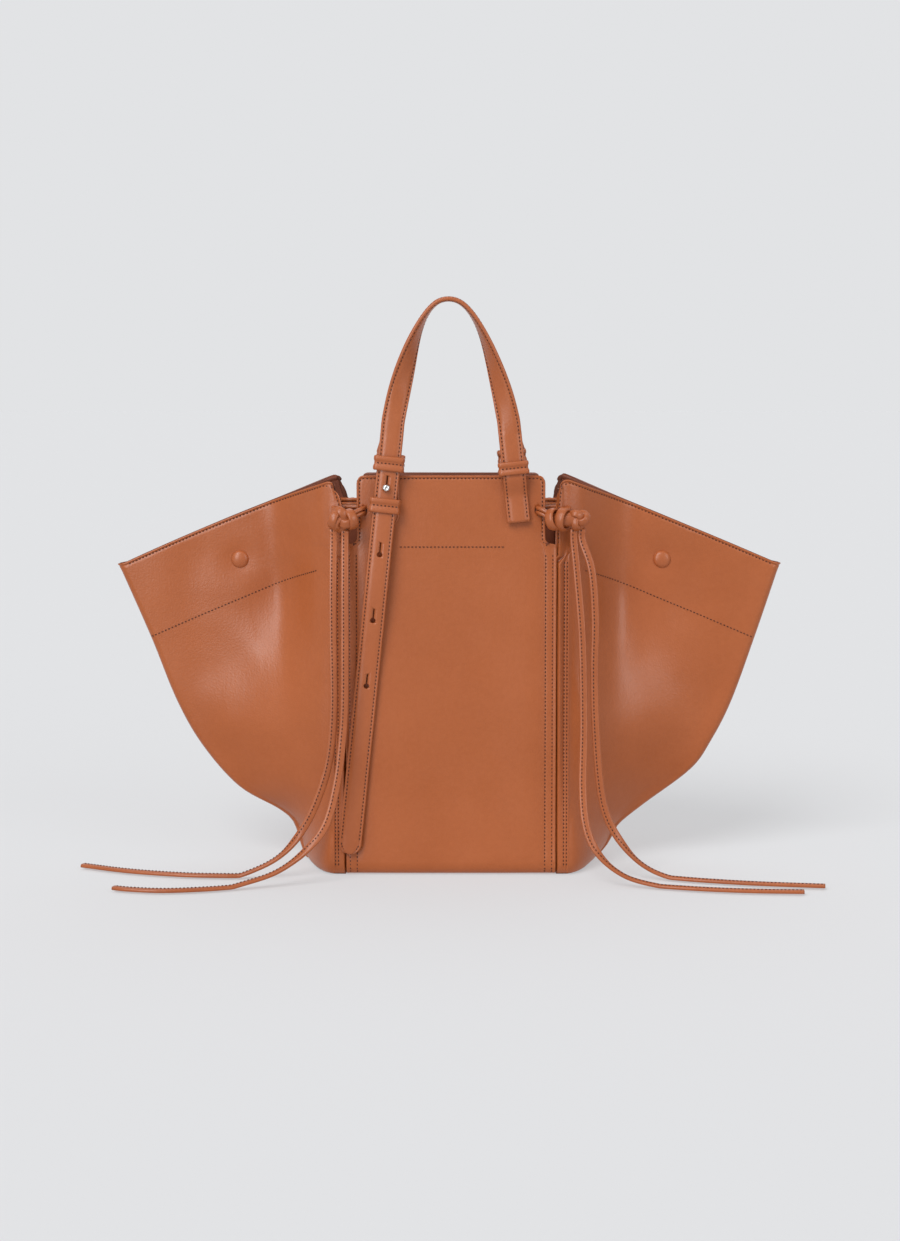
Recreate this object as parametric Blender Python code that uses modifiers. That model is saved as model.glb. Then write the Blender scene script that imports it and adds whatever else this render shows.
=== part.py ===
"""Leather tote bag: two panels, two folded wing gussets, tied corners and two adjustable handles.

Units are metres. X runs across the bag, Y from front to back and Z up, with the origin on the ground
under the middle of the base. "Hand" is -1 for the left and +1 for the right, "side" is -1 for the front
and +1 for the back.
"""

import math

import bmesh
import bpy
from mathutils import Matrix, Vector

# The body of the bag
BODY_HEIGHT = 0.332
BASE_DEPTH = 0.130
MOUTH_DEPTH = 0.102
PANEL_TOP_WIDTH = 0.155
PANEL_LOW_WIDTH = 0.174
PANEL_CORNER_RADIUS = 0.006
BASE_EDGE_RADIUS = 0.008
BASE_FLANGE = 0.007
NOTCH_DEPTH = 0.056
NOTCH_RADIUS = 0.005

# The wings: the fold line is given as shares of the wing tip's distance out and height
WING_SPAN = 0.560
WING_TIP_DROP = 0.076
WING_CORNER_DROP = 0.0035
WING_CORNER_RADIUS = 0.006
WING_INNER_GAP = 0.0015
WING_CORNER_GAP = 0.0090
FOLD_SHARES = [(0.443, 0.0), (0.486, 0.102), (0.536, 0.160), (0.664, 0.246), (0.771, 0.383),
               (0.850, 0.539), (1.0, 1.0)]
FOLD_RADIUS = 0.0055
LOW_FULLNESS = 2.0
LOW_FULLNESS_END = 0.2
TOP_HOLLOW = 1.5
PINCH_START = 0.40
PINCH_END = 0.79
PINCH_WIDTH = 0.36

# Leather thicknesses and the clearance between touching pieces
PANEL_SKIN = 0.0024
GUSSET_SKIN = 0.0022
FACING_SKIN = 0.0010
BASE_SKIN = 0.0024
BOARD_THICKNESS = 0.0020
GAP = 0.0003

# The lapped seam between panel and gusset
SEAM_LAP = 0.012
SEAM_CLEARANCE = 0.00075
SEAM_SLIT = 0.0027
SEAM_STRIP = 0.0075

# Facings and snaps
PANEL_FACING_DEPTH = 0.0585
WING_FACING_SHARE = 0.21
SNAP_FROM_TIP = 0.102
SNAP_DROP = 0.0375
SNAP_CAP_RADIUS = 0.0074
SNAP_CAP_HEIGHT = 0.0034
SNAP_POST_RADIUS = 0.0020
SNAP_HOLE_RADIUS = 0.0024
SOCKET_RADIUS = 0.0055
SOCKET_HEIGHT = 0.0028
SOCKET_BORE_RADIUS = 0.0027
STUD_NUB_RADIUS = 0.0021

# Handles
STRAP_WIDTH = 0.0190
STRAP_THICKNESS = 0.0042
STRAP_LEAN = math.radians(6.0)
STRAP_INSET = 0.0276
STRAP_TOP_ABOVE_BODY = 0.0165
STRAP_TAIL_LENGTH = 0.332
STRAP_END_LENGTH = 0.055
STRAP_REST_GAP = 0.0005
HANDLE_RISE = 0.1265
HANDLE_SIDE_POWER = 0.90
HANDLE_RISE_POWER = 1.68
HANDLE_SHIFT = 0.0020
ADJUSTABLE_TWIST_START = 0.18
SEWN_TWIST_START = 0.10
BEND_RADIUS = 0.006
HANG_ANGLE = math.pi
FLEX_GAP = 0.0008
KEEPER_WIDTH = 0.0263
KEEPER_HEIGHT = 0.0120
KEEPER_WALL = 0.0020
KEEPER_PLAY = 0.0004
UPPER_KEEPER_T = 0.0068
FREE_KEEPER_T = 0.0412
END_KEEPER_T = 0.0105
TAB_WIDTH = 0.0182
TAB_SHIFT = 0.0010
TAB_THICKNESS = 0.0024
TAB_TOP_ABOVE_BODY = 0.0150
TAB_BELOW_STUD = 0.0310
STUD_T = 0.0266
KEYHOLE_SPACING = 0.0547
KEYHOLE_COUNT = 4
KEYHOLE_RADIUS = 0.0022
KEYHOLE_SLIT_LENGTH = 0.0078
KEYHOLE_SLIT_WIDTH = 0.0012
STUD_BALL_RADIUS = 0.0033
STUD_NECK_RADIUS = 0.0017
STUD_FOOT_RADIUS = 0.0032
SCREW_RADIUS = 0.0015
SCREW_HEAD_RADIUS = 0.0045
SCREW_HEAD_HEIGHT = 0.0012

# Ties
TIE_HOLE_RADIUS = 0.0034
TIE_RADIUS = 0.0023
TAIL_RADIUS = 0.0025
PANEL_HOLE_INSET = 0.0060
TIE_HOLE_DROP = 0.028
WING_HOLE_GAP = 0.0130
KNOT_RADIUS = 0.0085
KNOT_WRAPS = 3
KNOT_STANDOFF = 0.0012
KNOT_DROP = 0.0070
LEFT_KNOT_GAP = 0.0020
LEFT_KNOT_LENGTH = 0.022
RIGHT_KNOT_GAP = 0.0080
RIGHT_KNOT_LENGTH = 0.031
BACK_KNOT_GAP = 0.0055
BACK_KNOT_LENGTH = 0.025

# Mesh fineness
GUSSET_ROWS = [0.0, 0.02, 0.05, 0.09, 0.14, 0.20, 0.28, 0.37, 0.46, 0.55, 0.64, 0.72, 0.79, 0.85, 0.93, 1.0]
WING_COLUMNS = [0.08, 0.17, 0.26, 0.36, 0.56, 0.78, 1.0]
FOLD_ARC_STEPS = 3
OVERSHOOT = 0.006
ROUND_STEPS = 16

# Sizes that follow from the ones above
PANEL_LOW = PANEL_LOW_WIDTH / 2
PANEL_TOP = PANEL_TOP_WIDTH / 2
NOTCH_Z = BODY_HEIGHT - NOTCH_DEPTH
STRIP_START = PANEL_LOW + SEAM_SLIT
STRIP_END = STRIP_START + SEAM_STRIP
LAP_DEPTH = PANEL_SKIN + GAP + GUSSET_SKIN / 2
WING_TIP_X = WING_SPAN / 2
WING_TIP_Z = BODY_HEIGHT - WING_TIP_DROP
WING_INNER_X = PANEL_LOW + WING_INNER_GAP
WING_CORNER_X = PANEL_LOW + WING_CORNER_GAP
WING_HOLE_X = PANEL_LOW + WING_HOLE_GAP
PANEL_HOLE_X = PANEL_TOP - PANEL_HOLE_INSET
STRAP_TOP_X = PANEL_TOP - STRAP_INSET
FACING_DEPTH = GUSSET_SKIN / 2 + 3 * GAP + FACING_SKIN / 2
GUSSET_FOOT = BASE_SKIN + GAP
WING_CORNER_Z = BODY_HEIGHT - WING_CORNER_DROP
TIE_HOLE_Z = BODY_HEIGHT - TIE_HOLE_DROP
KNOT_Z = TIE_HOLE_Z - KNOT_DROP
FRONT_LEFT_KNOT = (-PANEL_LOW - LEFT_KNOT_GAP, KNOT_Z, LEFT_KNOT_LENGTH)
FRONT_RIGHT_KNOT = (PANEL_LOW + RIGHT_KNOT_GAP, KNOT_Z, RIGHT_KNOT_LENGTH)
BACK_LEFT_KNOT = (-PANEL_LOW - BACK_KNOT_GAP, KNOT_Z, BACK_KNOT_LENGTH)
BACK_RIGHT_KNOT = (PANEL_LOW + BACK_KNOT_GAP, KNOT_Z, BACK_KNOT_LENGTH)
STRAP_TOP_Z = BODY_HEIGHT + STRAP_TOP_ABOVE_BODY
PANEL_SLOPE = math.atan((BASE_DEPTH - MOUTH_DEPTH) / 2 / (BODY_HEIGHT - BASE_EDGE_RADIUS))
KEEPER_BORE = STRAP_THICKNESS + 2 * KEEPER_PLAY
STRAP_OFFSET = 2 * GAP + TAB_THICKNESS + KEEPER_WALL + KEEPER_PLAY + STRAP_THICKNESS / 2
BEND_LENGTH = math.pi * BEND_RADIUS


def clear_scene():
    for item in list(bpy.data.objects):
        bpy.data.objects.remove(item, do_unlink=True)


def new_collection(name):
    group = bpy.data.collections.new(name)
    bpy.context.scene.collection.children.link(group)
    return group


def principled(name, colour, roughness, metallic=0.0):
    material = bpy.data.materials.new(name)
    material.use_nodes = True
    shader = material.node_tree.nodes["Principled BSDF"]
    shader.inputs["Base Color"].default_value = (*colour, 1.0)
    shader.inputs["Roughness"].default_value = roughness
    shader.inputs["Metallic"].default_value = metallic
    return material


clear_scene()
BAG = new_collection("tote_bag")
CUTTERS = new_collection("cutters")
LEATHER = principled("tan_leather", (0.42, 0.125, 0.048), 0.45)
SUEDE = principled("leather_back", (0.16, 0.055, 0.030), 0.85)
BOARD = principled("base_board", (0.10, 0.075, 0.055), 0.90)
STEEL = principled("polished_steel", (0.80, 0.79, 0.77), 0.18, 1.0)


def add_piece(name, data, material):
    """Link a new object of the bag under its own name and finish."""
    piece = bpy.data.objects.new(name, data)
    BAG.objects.link(piece)
    data.materials.append(material)
    return piece


def set_origin(piece, point):
    """Move a piece's origin to a world point and leave its shape where it is."""
    piece.data.transform(Matrix.Translation(-point))
    piece.location = point


def add_cutter(name, data):
    cutter = bpy.data.objects.new(name, data)
    CUTTERS.objects.link(cutter)
    cutter.hide_render = True
    cutter.display_type = "WIRE"
    return cutter


def boolean(piece, cutter, operation="DIFFERENCE"):
    step = piece.modifiers.new(operation.lower(), "BOOLEAN")
    step.operation = operation
    step.solver = "EXACT"
    step.object = cutter


def to_mesh(curve_item):
    """Turn a curve object into a closed mesh in world space, with the caps welded on."""
    bpy.context.view_layer.update()
    depsgraph = bpy.context.evaluated_depsgraph_get()
    mesh = bpy.data.meshes.new_from_object(curve_item.evaluated_get(depsgraph))
    mesh.transform(curve_item.matrix_world)
    bm = bmesh.new()
    bm.from_mesh(mesh)
    bmesh.ops.remove_doubles(bm, verts=bm.verts, dist=1e-6)
    bmesh.ops.recalc_face_normals(bm, faces=bm.faces)
    bm.to_mesh(mesh)
    bm.free()
    mesh.name = curve_item.name
    bpy.data.objects.remove(curve_item, do_unlink=True)
    return mesh


def flat_solid(outlines, thickness, matrix):
    """Mesh of one or more closed outlines in the matrix's XY plane, with equal thickness to either side."""
    curve = bpy.data.curves.new("outline", "CURVE")
    curve.dimensions = "2D"
    curve.fill_mode = "BOTH"
    curve.extrude = thickness / 2
    for outline in outlines:
        spline = curve.splines.new("POLY")
        spline.points.add(len(outline) - 1)
        for point, corner in zip(spline.points, outline):
            point.co = (corner[0], corner[1], 0.0, 1.0)
        spline.use_cyclic_u = True
    item = bpy.data.objects.new("outline", curve)
    item.matrix_world = matrix
    CUTTERS.objects.link(item)
    return to_mesh(item)


def tube_mesh(points, radius, resolution, half_width=0.0, tilts=None):
    """Mesh of a round tube, or of a flat strap where half_width is given, along a list of points."""
    curve = bpy.data.curves.new("tube", "CURVE")
    curve.dimensions = "3D"
    curve.twist_mode = "Z_UP" if half_width else "MINIMUM"
    curve.bevel_depth = radius
    curve.bevel_resolution = resolution
    curve.extrude = half_width
    curve.use_fill_caps = True
    spline = curve.splines.new("POLY")
    spline.points.add(len(points) - 1)
    for index, point in enumerate(points):
        spline.points[index].co = (*point, 1.0)
        spline.points[index].tilt = tilts[index] if tilts else 0.0
    item = bpy.data.objects.new("tube", curve)
    CUTTERS.objects.link(item)
    return to_mesh(item)


def turned_mesh(profile, matrix, steps=ROUND_STEPS):
    """Mesh of a (radius, height) profile turned about the matrix's Z axis, from the top down."""
    mesh = bpy.data.meshes.new("profile")
    bm = bmesh.new()
    verts = [bm.verts.new((radius, 0.0, height)) for radius, height in profile]
    for first, second in zip(verts, verts[1:]):
        bm.edges.new((first, second))
    bm.to_mesh(mesh)
    bm.free()
    item = bpy.data.objects.new("profile", mesh)
    CUTTERS.objects.link(item)
    screw = item.modifiers.new("turn", "SCREW")
    screw.axis = "Z"
    screw.steps = steps
    screw.render_steps = steps
    screw.use_merge_vertices = True
    screw.merge_threshold = 1e-6
    item.matrix_world = matrix
    return to_mesh(item)


def rounded(corners, steps=4):
    """Outline through (x, y, radius) corners, each corner with a radius turned into an arc."""
    outline = []
    for index, (x, y, radius) in enumerate(corners):
        corner = Vector((x, y))
        if radius == 0:
            outline.append(corner)
            continue
        before = (Vector(corners[index - 1][:2]) - corner).normalized()
        after = (Vector(corners[(index + 1) % len(corners)][:2]) - corner).normalized()
        half = before.angle(after) / 2
        centre = corner + (before + after).normalized() * radius / math.sin(half)
        start = corner + before * radius / math.tan(half) - centre
        end = corner + after * radius / math.tan(half) - centre
        sweep = start.angle_signed(end)
        for step in range(steps + 1):
            turn = Matrix.Rotation(-sweep * step / steps, 2)
            outline.append(centre + turn @ start)
    return outline


def smooth_route(points, count):
    """Evenly spaced points on a smooth curve through the given points."""
    knots = [Vector(point) for point in points]
    knots = [2 * knots[0] - knots[1]] + knots + [2 * knots[-1] - knots[-2]]
    dense = []
    for before, start, end, after in zip(knots, knots[1:], knots[2:], knots[3:]):
        for step in range(24):
            t = step / 24
            slope = end - before
            bend = 2 * before - 5 * start + 4 * end - after
            turn = 3 * start - before - 3 * end + after
            dense.append(0.5 * (2 * start + slope * t + bend * t * t + turn * t ** 3))
    dense.append(knots[-2])
    lengths = [0.0]
    for first, second in zip(dense, dense[1:]):
        lengths.append(lengths[-1] + (second - first).length)
    result = []
    index = 0
    for step in range(count):
        wanted = lengths[-1] * step / (count - 1)
        while index < len(dense) - 2 and lengths[index + 1] < wanted:
            index += 1
        span = lengths[index + 1] - lengths[index]
        result.append(dense[index].lerp(dense[index + 1], (wanted - lengths[index]) / span))
    return result


def route_length(points):
    return sum((second - first).length for first, second in zip(points, points[1:]))


def smoothstep(value):
    value = min(max(value, 0.0), 1.0)
    return value * value * (3 - 2 * value)


def lerp(first, second, share):
    return first + (second - first) * share


def plan_matrix(z):
    return Matrix.Translation((0.0, 0.0, z))


def front_view_matrix(y):
    """Frame whose X and Y lie along the bag's X and Z, for outlines seen from the front."""
    return Matrix.Translation((0.0, y, 0.0)) @ Matrix.Rotation(math.pi / 2, 4, "X")


def face_distance(z):
    """Distance of a panel's outer face from the middle plane, at a height."""
    foot = BASE_DEPTH / 2
    if z < BASE_EDGE_RADIUS:
        drop = BASE_EDGE_RADIUS - z
        return foot - BASE_EDGE_RADIUS + math.sqrt(BASE_EDGE_RADIUS ** 2 - drop ** 2)
    return lerp(foot, MOUTH_DEPTH / 2, (z - BASE_EDGE_RADIUS) / (BODY_HEIGHT - BASE_EDGE_RADIUS))


def through_cutter(name, x, z, radius, near, far):
    """Round cutter along Y between two distances from the middle plane."""
    bm = bmesh.new()
    length = far - near
    bmesh.ops.create_cone(bm, cap_ends=True, segments=12, radius1=radius, radius2=radius, depth=length)
    bmesh.ops.rotate(bm, verts=bm.verts, matrix=Matrix.Rotation(math.pi / 2, 3, "X"))
    bmesh.ops.translate(bm, verts=bm.verts, vec=(x, (near + far) / 2, z))
    mesh = bpy.data.meshes.new(name)
    bm.to_mesh(mesh)
    bm.free()
    return add_cutter(name, mesh)


# Panels and their facings

def panel_outline():
    """Front view of a panel: straight foot, shoulders under the notches and rounded top corners."""
    shoulder = NOTCH_RADIUS * 0.7
    right = [
        (PANEL_LOW, -OVERSHOOT, 0.0),
        (PANEL_LOW, NOTCH_Z, shoulder),
        (PANEL_TOP, NOTCH_Z + NOTCH_RADIUS, NOTCH_RADIUS),
        (PANEL_TOP, BODY_HEIGHT, PANEL_CORNER_RADIUS),
    ]
    left = [(-x, z, radius) for x, z, radius in reversed(right)]
    return rounded(right + left)


def facing_outline():
    margin = 0.0015
    low = BODY_HEIGHT - PANEL_FACING_DEPTH - margin
    top = BODY_HEIGHT - margin
    half = PANEL_TOP - margin
    return rounded([(half, low, 0.002), (half, top, PANEL_CORNER_RADIUS), (-half, top, PANEL_CORNER_RADIUS),
                    (-half, low, 0.002)])


def wall_sheet(name, side, depth, skin, with_foot, material):
    """Sheet parallel to a panel's outer face and a depth behind it, drawn along X from its side profile."""
    profile = []
    if with_foot:
        arc_middle = BASE_DEPTH / 2 - BASE_EDGE_RADIUS
        radius = BASE_EDGE_RADIUS - depth
        profile.append((arc_middle - BASE_FLANGE, depth))
        for step in range(6):
            angle = math.pi / 2 * step / 6
            profile.append((arc_middle + radius * math.sin(angle),
                            BASE_EDGE_RADIUS - radius * math.cos(angle)))
    profile.append((face_distance(BASE_EDGE_RADIUS) - depth, BASE_EDGE_RADIUS))
    over = BODY_HEIGHT + OVERSHOOT
    profile.append((face_distance(over) - depth, over))
    bm = bmesh.new()
    half = PANEL_LOW + OVERSHOOT
    verts = [bm.verts.new((-half, side * distance, z)) for distance, z in profile]
    edges = [bm.edges.new(pair) for pair in zip(verts, verts[1:])]
    grown = bmesh.ops.extrude_edge_only(bm, edges=edges)["geom"]
    moved = [item for item in grown if isinstance(item, bmesh.types.BMVert)]
    bmesh.ops.translate(bm, verts=moved, vec=(2 * half, 0.0, 0.0))
    bm.normal_update()
    if sum(face.normal.y * face.calc_area() for face in bm.faces) * side < 0:
        bmesh.ops.reverse_faces(bm, faces=bm.faces)
    mesh = bpy.data.meshes.new(name)
    bm.to_mesh(mesh)
    bm.free()
    sheet = add_piece(name, mesh, material)
    wall = sheet.modifiers.new("leather", "SOLIDIFY")
    wall.thickness = skin
    wall.offset = -1.0
    wall.use_even_offset = True
    return sheet


def make_panel(label, side):
    panel = wall_sheet(f"{label}_panel", side, 0.0, PANEL_SKIN, True, LEATHER)
    outline = flat_solid([panel_outline()], 2 * BASE_DEPTH, front_view_matrix(0.0))
    boolean(panel, add_cutter(f"{label}_panel_outline", outline), "INTERSECT")
    facing = wall_sheet(f"{label}_facing", side, PANEL_SKIN + GAP, FACING_SKIN, False, SUEDE)
    outline = flat_solid([facing_outline()], 2 * BASE_DEPTH, front_view_matrix(0.0))
    boolean(facing, add_cutter(f"{label}_facing_outline", outline), "INTERSECT")
    near = side * (MOUTH_DEPTH / 2 - 0.012)
    far = side * (MOUTH_DEPTH / 2 + 0.012)
    for hand in (-1, 1):
        hole = through_cutter(f"{label}_tie_hole_{hand}", hand * PANEL_HOLE_X, TIE_HOLE_Z, TIE_HOLE_RADIUS,
                              min(near, far), max(near, far))
        boolean(panel, hole)
        boolean(facing, hole)
    stud_x, stud_z = stud_place(side)
    hole = through_cutter(f"{label}_screw_hole", stud_x, stud_z, SCREW_RADIUS + 2 * GAP,
                          min(near, far), max(near, far))
    boolean(panel, hole)
    boolean(facing, hole)


# Gussets

FOLD_ROUTE = smooth_route([(x * WING_TIP_X, 0.0, z * WING_TIP_Z) for x, z in FOLD_SHARES], 81)


def fold_point(share):
    """Point (x, z) of the outer fold, from the ground (0) to the wing tip (1), and a little past it."""
    place = min(max(share, 0.0), 1.0) * (len(FOLD_ROUTE) - 1)
    index = min(int(place), len(FOLD_ROUTE) - 2)
    point = FOLD_ROUTE[index].lerp(FOLD_ROUTE[index + 1], place - index)
    return point.x, point.z


def gusset_row(share):
    """Quarter section of the right gusset as (x, distance from the middle, z), from the lap to the fold."""
    seam_z = lerp(GUSSET_FOOT, WING_CORNER_Z, share)
    fold_x, fold_z = fold_point(share)
    fold_z = max(fold_z, GUSSET_FOOT)
    outer = face_distance(seam_z)
    lap = outer - LAP_DEPTH
    strip = outer - GUSSET_SKIN / 2
    row = [
        (PANEL_LOW - SEAM_LAP, lap, seam_z),
        (PANEL_LOW + SEAM_CLEARANCE, lap, seam_z),
        (STRIP_START, strip, seam_z),
        (STRIP_END, strip, seam_z),
    ]
    fullness = lerp(LOW_FULLNESS, 1.0, smoothstep(share / LOW_FULLNESS_END))
    hollow = lerp(1.0, TOP_HOLLOW, smoothstep(share))
    pinch_height = smoothstep((share - PINCH_START) / (PINCH_END - PINCH_START))
    last_x = fold_x - FOLD_RADIUS
    for column in WING_COLUMNS:
        width = (1 - column ** fullness) ** hollow
        open_distance = lerp(FOLD_RADIUS, strip, width)
        pinch = pinch_height * smoothstep(column / PINCH_WIDTH)
        row.append((lerp(STRIP_END, last_x, column), lerp(open_distance, FOLD_RADIUS, pinch),
                    lerp(seam_z, fold_z, column)))
    for step in range(1, FOLD_ARC_STEPS + 1):
        angle = math.pi / 2 * step / FOLD_ARC_STEPS
        row.append((last_x + FOLD_RADIUS * math.sin(angle), FOLD_RADIUS * math.cos(angle), fold_z))
    return row


def row_past(share, inside):
    """Row a little beyond the one at a share, on the straight line from a row further inside."""
    past = []
    for point, behind in zip(gusset_row(share), gusset_row(inside)):
        step = (Vector(point) - Vector(behind)).normalized() * OVERSHOOT
        past.append(tuple(Vector(point) + step))
    return past


def gusset_rows(shares):
    """Rows from low to high, with one more at the top and, for a whole gusset, one more at the foot."""
    rows = [gusset_row(share) for share in shares] + [row_past(shares[-1], shares[-1] - 0.02)]
    if shares[0] == 0.0:
        rows.insert(0, row_past(0.0, 0.02))
    return rows


def gusset_sheet(name, hand, shares, depth, skin, first_column, material):
    """Folded sheet at a depth inside the gusset's middle surface, front half and back half in one."""
    grid = []
    bm = bmesh.new()
    for row in gusset_rows(shares):
        row = row[first_column:]
        front = [(hand * x, -distance, z) for x, distance, z in row]
        back = [(hand * x, distance, z) for x, distance, z in reversed(row[:-1])]
        grid.append([bm.verts.new(point) for point in front + back])
    for low, high in zip(grid, grid[1:]):
        for index in range(len(low) - 1):
            corners = (low[index], low[index + 1], high[index + 1], high[index])
            bm.faces.new(corners if hand > 0 else corners[::-1])
    bm.normal_update()
    normals = [(vert, vert.normal.copy()) for vert in bm.verts]
    for vert, normal in normals:
        vert.co -= normal * depth
    mesh = bpy.data.meshes.new(name)
    bm.to_mesh(mesh)
    bm.free()
    sheet = add_piece(name, mesh, material)
    wall = sheet.modifiers.new("leather", "SOLIDIFY")
    wall.thickness = skin
    wall.offset = 0.0
    wall.use_even_offset = True
    return sheet


def wing_edge_outline(hand, inset):
    """Front view of what is cut away above a gusset: the notch, the corner and the sloping top edge."""
    slope = (WING_TIP_Z - WING_CORNER_Z) / (WING_TIP_X - WING_CORNER_X)
    inner = WING_INNER_X + inset
    corner_x = WING_CORNER_X + inset
    lap_x = PANEL_LOW - SEAM_LAP - OVERSHOOT
    far_x = WING_TIP_X + 2 * OVERSHOOT
    lap_top = NOTCH_Z - NOTCH_RADIUS - 0.003
    flare_z = lerp(lap_top, WING_CORNER_Z, 0.6)
    sky = BODY_HEIGHT + 6 * OVERSHOOT
    corner_z = WING_CORNER_Z - inset
    return rounded([
        (hand * lap_x, lap_top, 0.0),
        (hand * inner, lap_top, 0.0),
        (hand * inner, flare_z, 0.020),
        (hand * corner_x, corner_z, WING_CORNER_RADIUS),
        (hand * far_x, corner_z + slope * (far_x - corner_x), 0.0),
        (hand * far_x, sky, 0.0),
        (hand * lap_x, sky, 0.0),
    ])


def snap_place(hand):
    """Middle (x, z) of a wing's snap, a set drop below the wing's top edge."""
    x = WING_TIP_X - SNAP_FROM_TIP
    edge_z = lerp(WING_CORNER_Z, WING_TIP_Z, (x - WING_CORNER_X) / (WING_TIP_X - WING_CORNER_X))
    return hand * x, edge_z - SNAP_DROP


def make_gusset(label, hand):
    gusset = gusset_sheet(f"{label}_gusset", hand, GUSSET_ROWS, 0.0, GUSSET_SKIN, 0, LEATHER)
    edge = flat_solid([wing_edge_outline(hand, 0.0)], 2 * BASE_DEPTH, front_view_matrix(0.0))
    boolean(gusset, add_cutter(f"{label}_wing_edge", edge))
    foot_x = PANEL_LOW + 2 * GAP
    lap_x = PANEL_LOW - SEAM_LAP - OVERSHOOT
    lap_foot = BASE_EDGE_RADIUS + 0.004
    far_x = FOLD_SHARES[0][0] * WING_TIP_X + 3 * OVERSHOOT
    foot = [(hand * lap_x, -3 * OVERSHOOT), (hand * far_x, -3 * OVERSHOOT), (hand * far_x, GUSSET_FOOT),
            (hand * foot_x, GUSSET_FOOT), (hand * foot_x, lap_foot), (hand * lap_x, lap_foot)]
    boolean(gusset, add_cutter(f"{label}_foot", flat_solid([foot], 2 * BASE_DEPTH, front_view_matrix(0.0))))
    first_share = 1.0 - WING_FACING_SHARE
    shares = [first_share] + [share for share in GUSSET_ROWS if share > first_share + 0.01]
    facing = gusset_sheet(f"{label}_gusset_facing", hand, shares, FACING_DEPTH, FACING_SKIN, 2, SUEDE)
    edge = flat_solid([wing_edge_outline(hand, 0.002)], 2 * BASE_DEPTH, front_view_matrix(0.0))
    boolean(facing, add_cutter(f"{label}_facing_edge", edge))
    snap_x, snap_z = snap_place(hand)
    hole = through_cutter(f"{label}_snap_hole", snap_x, snap_z, SNAP_HOLE_RADIUS, -0.02, 0.02)
    boolean(gusset, hole)
    boolean(facing, hole)
    reach = MOUTH_DEPTH / 2
    for side, word in ((-1, "front"), (1, "back")):
        ends = sorted((side * 0.5 * reach, side * 1.3 * reach))
        hole = through_cutter(f"{word}_{label}_wing_tie_hole", hand * WING_HOLE_X, TIE_HOLE_Z,
                              TIE_HOLE_RADIUS, *ends)
        boolean(gusset, hole)
        boolean(facing, hole)


def foot_outline():
    """Plan of the base panel: between the turned panel edges, widening under both gussets."""
    flange_edge = BASE_DEPTH / 2 - BASE_EDGE_RADIUS - BASE_FLANGE - GAP
    quarter = [Vector((PANEL_LOW + GAP, flange_edge))]
    row = [Vector((x, distance)) for x, distance, z in gusset_row(0.0)[2:]]
    quarter.append(Vector((PANEL_LOW + GAP, row[0].y + GUSSET_SKIN / 2)))
    for index in range(1, len(row)):
        along = (row[min(index + 1, len(row) - 1)] - row[index - 1]).normalized()
        quarter.append(row[index] + Vector((-along.y, along.x)) * GUSSET_SKIN / 2)
    quarter[-1].y = 0.0
    front_right = [Vector((point.x, -point.y)) for point in quarter]
    right = front_right[:-1] + quarter[::-1]
    left = [Vector((-point.x, point.y)) for point in right[::-1]]
    return right + left


def make_base():
    matrix = plan_matrix(BASE_SKIN / 2)
    add_piece("base_panel", flat_solid([foot_outline()], BASE_SKIN, matrix), LEATHER)
    half_x = PANEL_LOW - SEAM_LAP - GAP
    half_y = BASE_DEPTH / 2 - BASE_EDGE_RADIUS - 0.001
    corner = 0.006
    board = rounded([(half_x, -half_y, corner), (half_x, half_y, corner), (-half_x, half_y, corner),
                     (-half_x, -half_y, corner)])
    matrix = plan_matrix(BASE_SKIN + GAP + BOARD_THICKNESS / 2)
    add_piece("base_board", flat_solid([board], BOARD_THICKNESS, matrix), BOARD)


# Snaps

def across_matrix(x, y, z, side):
    """Frame whose Z axis points out of the bag's front or back."""
    turn = Matrix.Rotation(-side * math.pi / 2, 4, "X")
    return Matrix.Translation((x, y, z)) @ turn


def make_snap(label, hand):
    x, z = snap_place(hand)
    face = FOLD_RADIUS + GUSSET_SKIN / 2 + GAP
    inner = FOLD_RADIUS - FACING_DEPTH - FACING_SKIN / 2 - GAP
    post = face - inner - GAP
    dome = []
    for step in range(5):
        angle = math.pi / 2 * step / 4
        dome.append((SNAP_CAP_RADIUS * math.sin(angle),
                     0.0006 + (SNAP_CAP_HEIGHT - 0.0006) * math.cos(angle)))
    cap = dome + [(SNAP_CAP_RADIUS - 0.0004, 0.0), (SNAP_POST_RADIUS, 0.0),
                  (SNAP_POST_RADIUS, -post), (0.0, -post)]
    for side, word in ((-1, "front"), (1, "back")):
        place = across_matrix(x, side * face, z, side)
        add_piece(f"{label}_snap_{word}_cap", turned_mesh(cap, place), LEATHER)
    floor = 0.0008
    socket = [(0.0, floor - SOCKET_HEIGHT), (SOCKET_BORE_RADIUS, floor - SOCKET_HEIGHT),
              (SOCKET_BORE_RADIUS, 0.0), (SOCKET_RADIUS - 0.0008, 0.0), (SOCKET_RADIUS, -0.0008),
              (SOCKET_RADIUS, -SOCKET_HEIGHT), (0.0, -SOCKET_HEIGHT)]
    socket_face = -inner + SOCKET_HEIGHT
    add_piece(f"{label}_snap_socket", turned_mesh(socket, across_matrix(x, socket_face, z, 1)), STEEL)
    base_height = inner - socket_face - GAP
    nub = SOCKET_HEIGHT - floor - GAP
    stud = [(0.0, base_height + nub), (STUD_NUB_RADIUS * 0.7, base_height + nub),
            (STUD_NUB_RADIUS, base_height + nub * 0.7), (STUD_NUB_RADIUS * 0.85, base_height),
            (SOCKET_RADIUS, base_height), (SOCKET_RADIUS, 0.0), (0.0, 0.0)]
    add_piece(f"{label}_snap_stud", turned_mesh(stud, across_matrix(x, inner, z, -1)), STEEL)


# Handles

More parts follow.
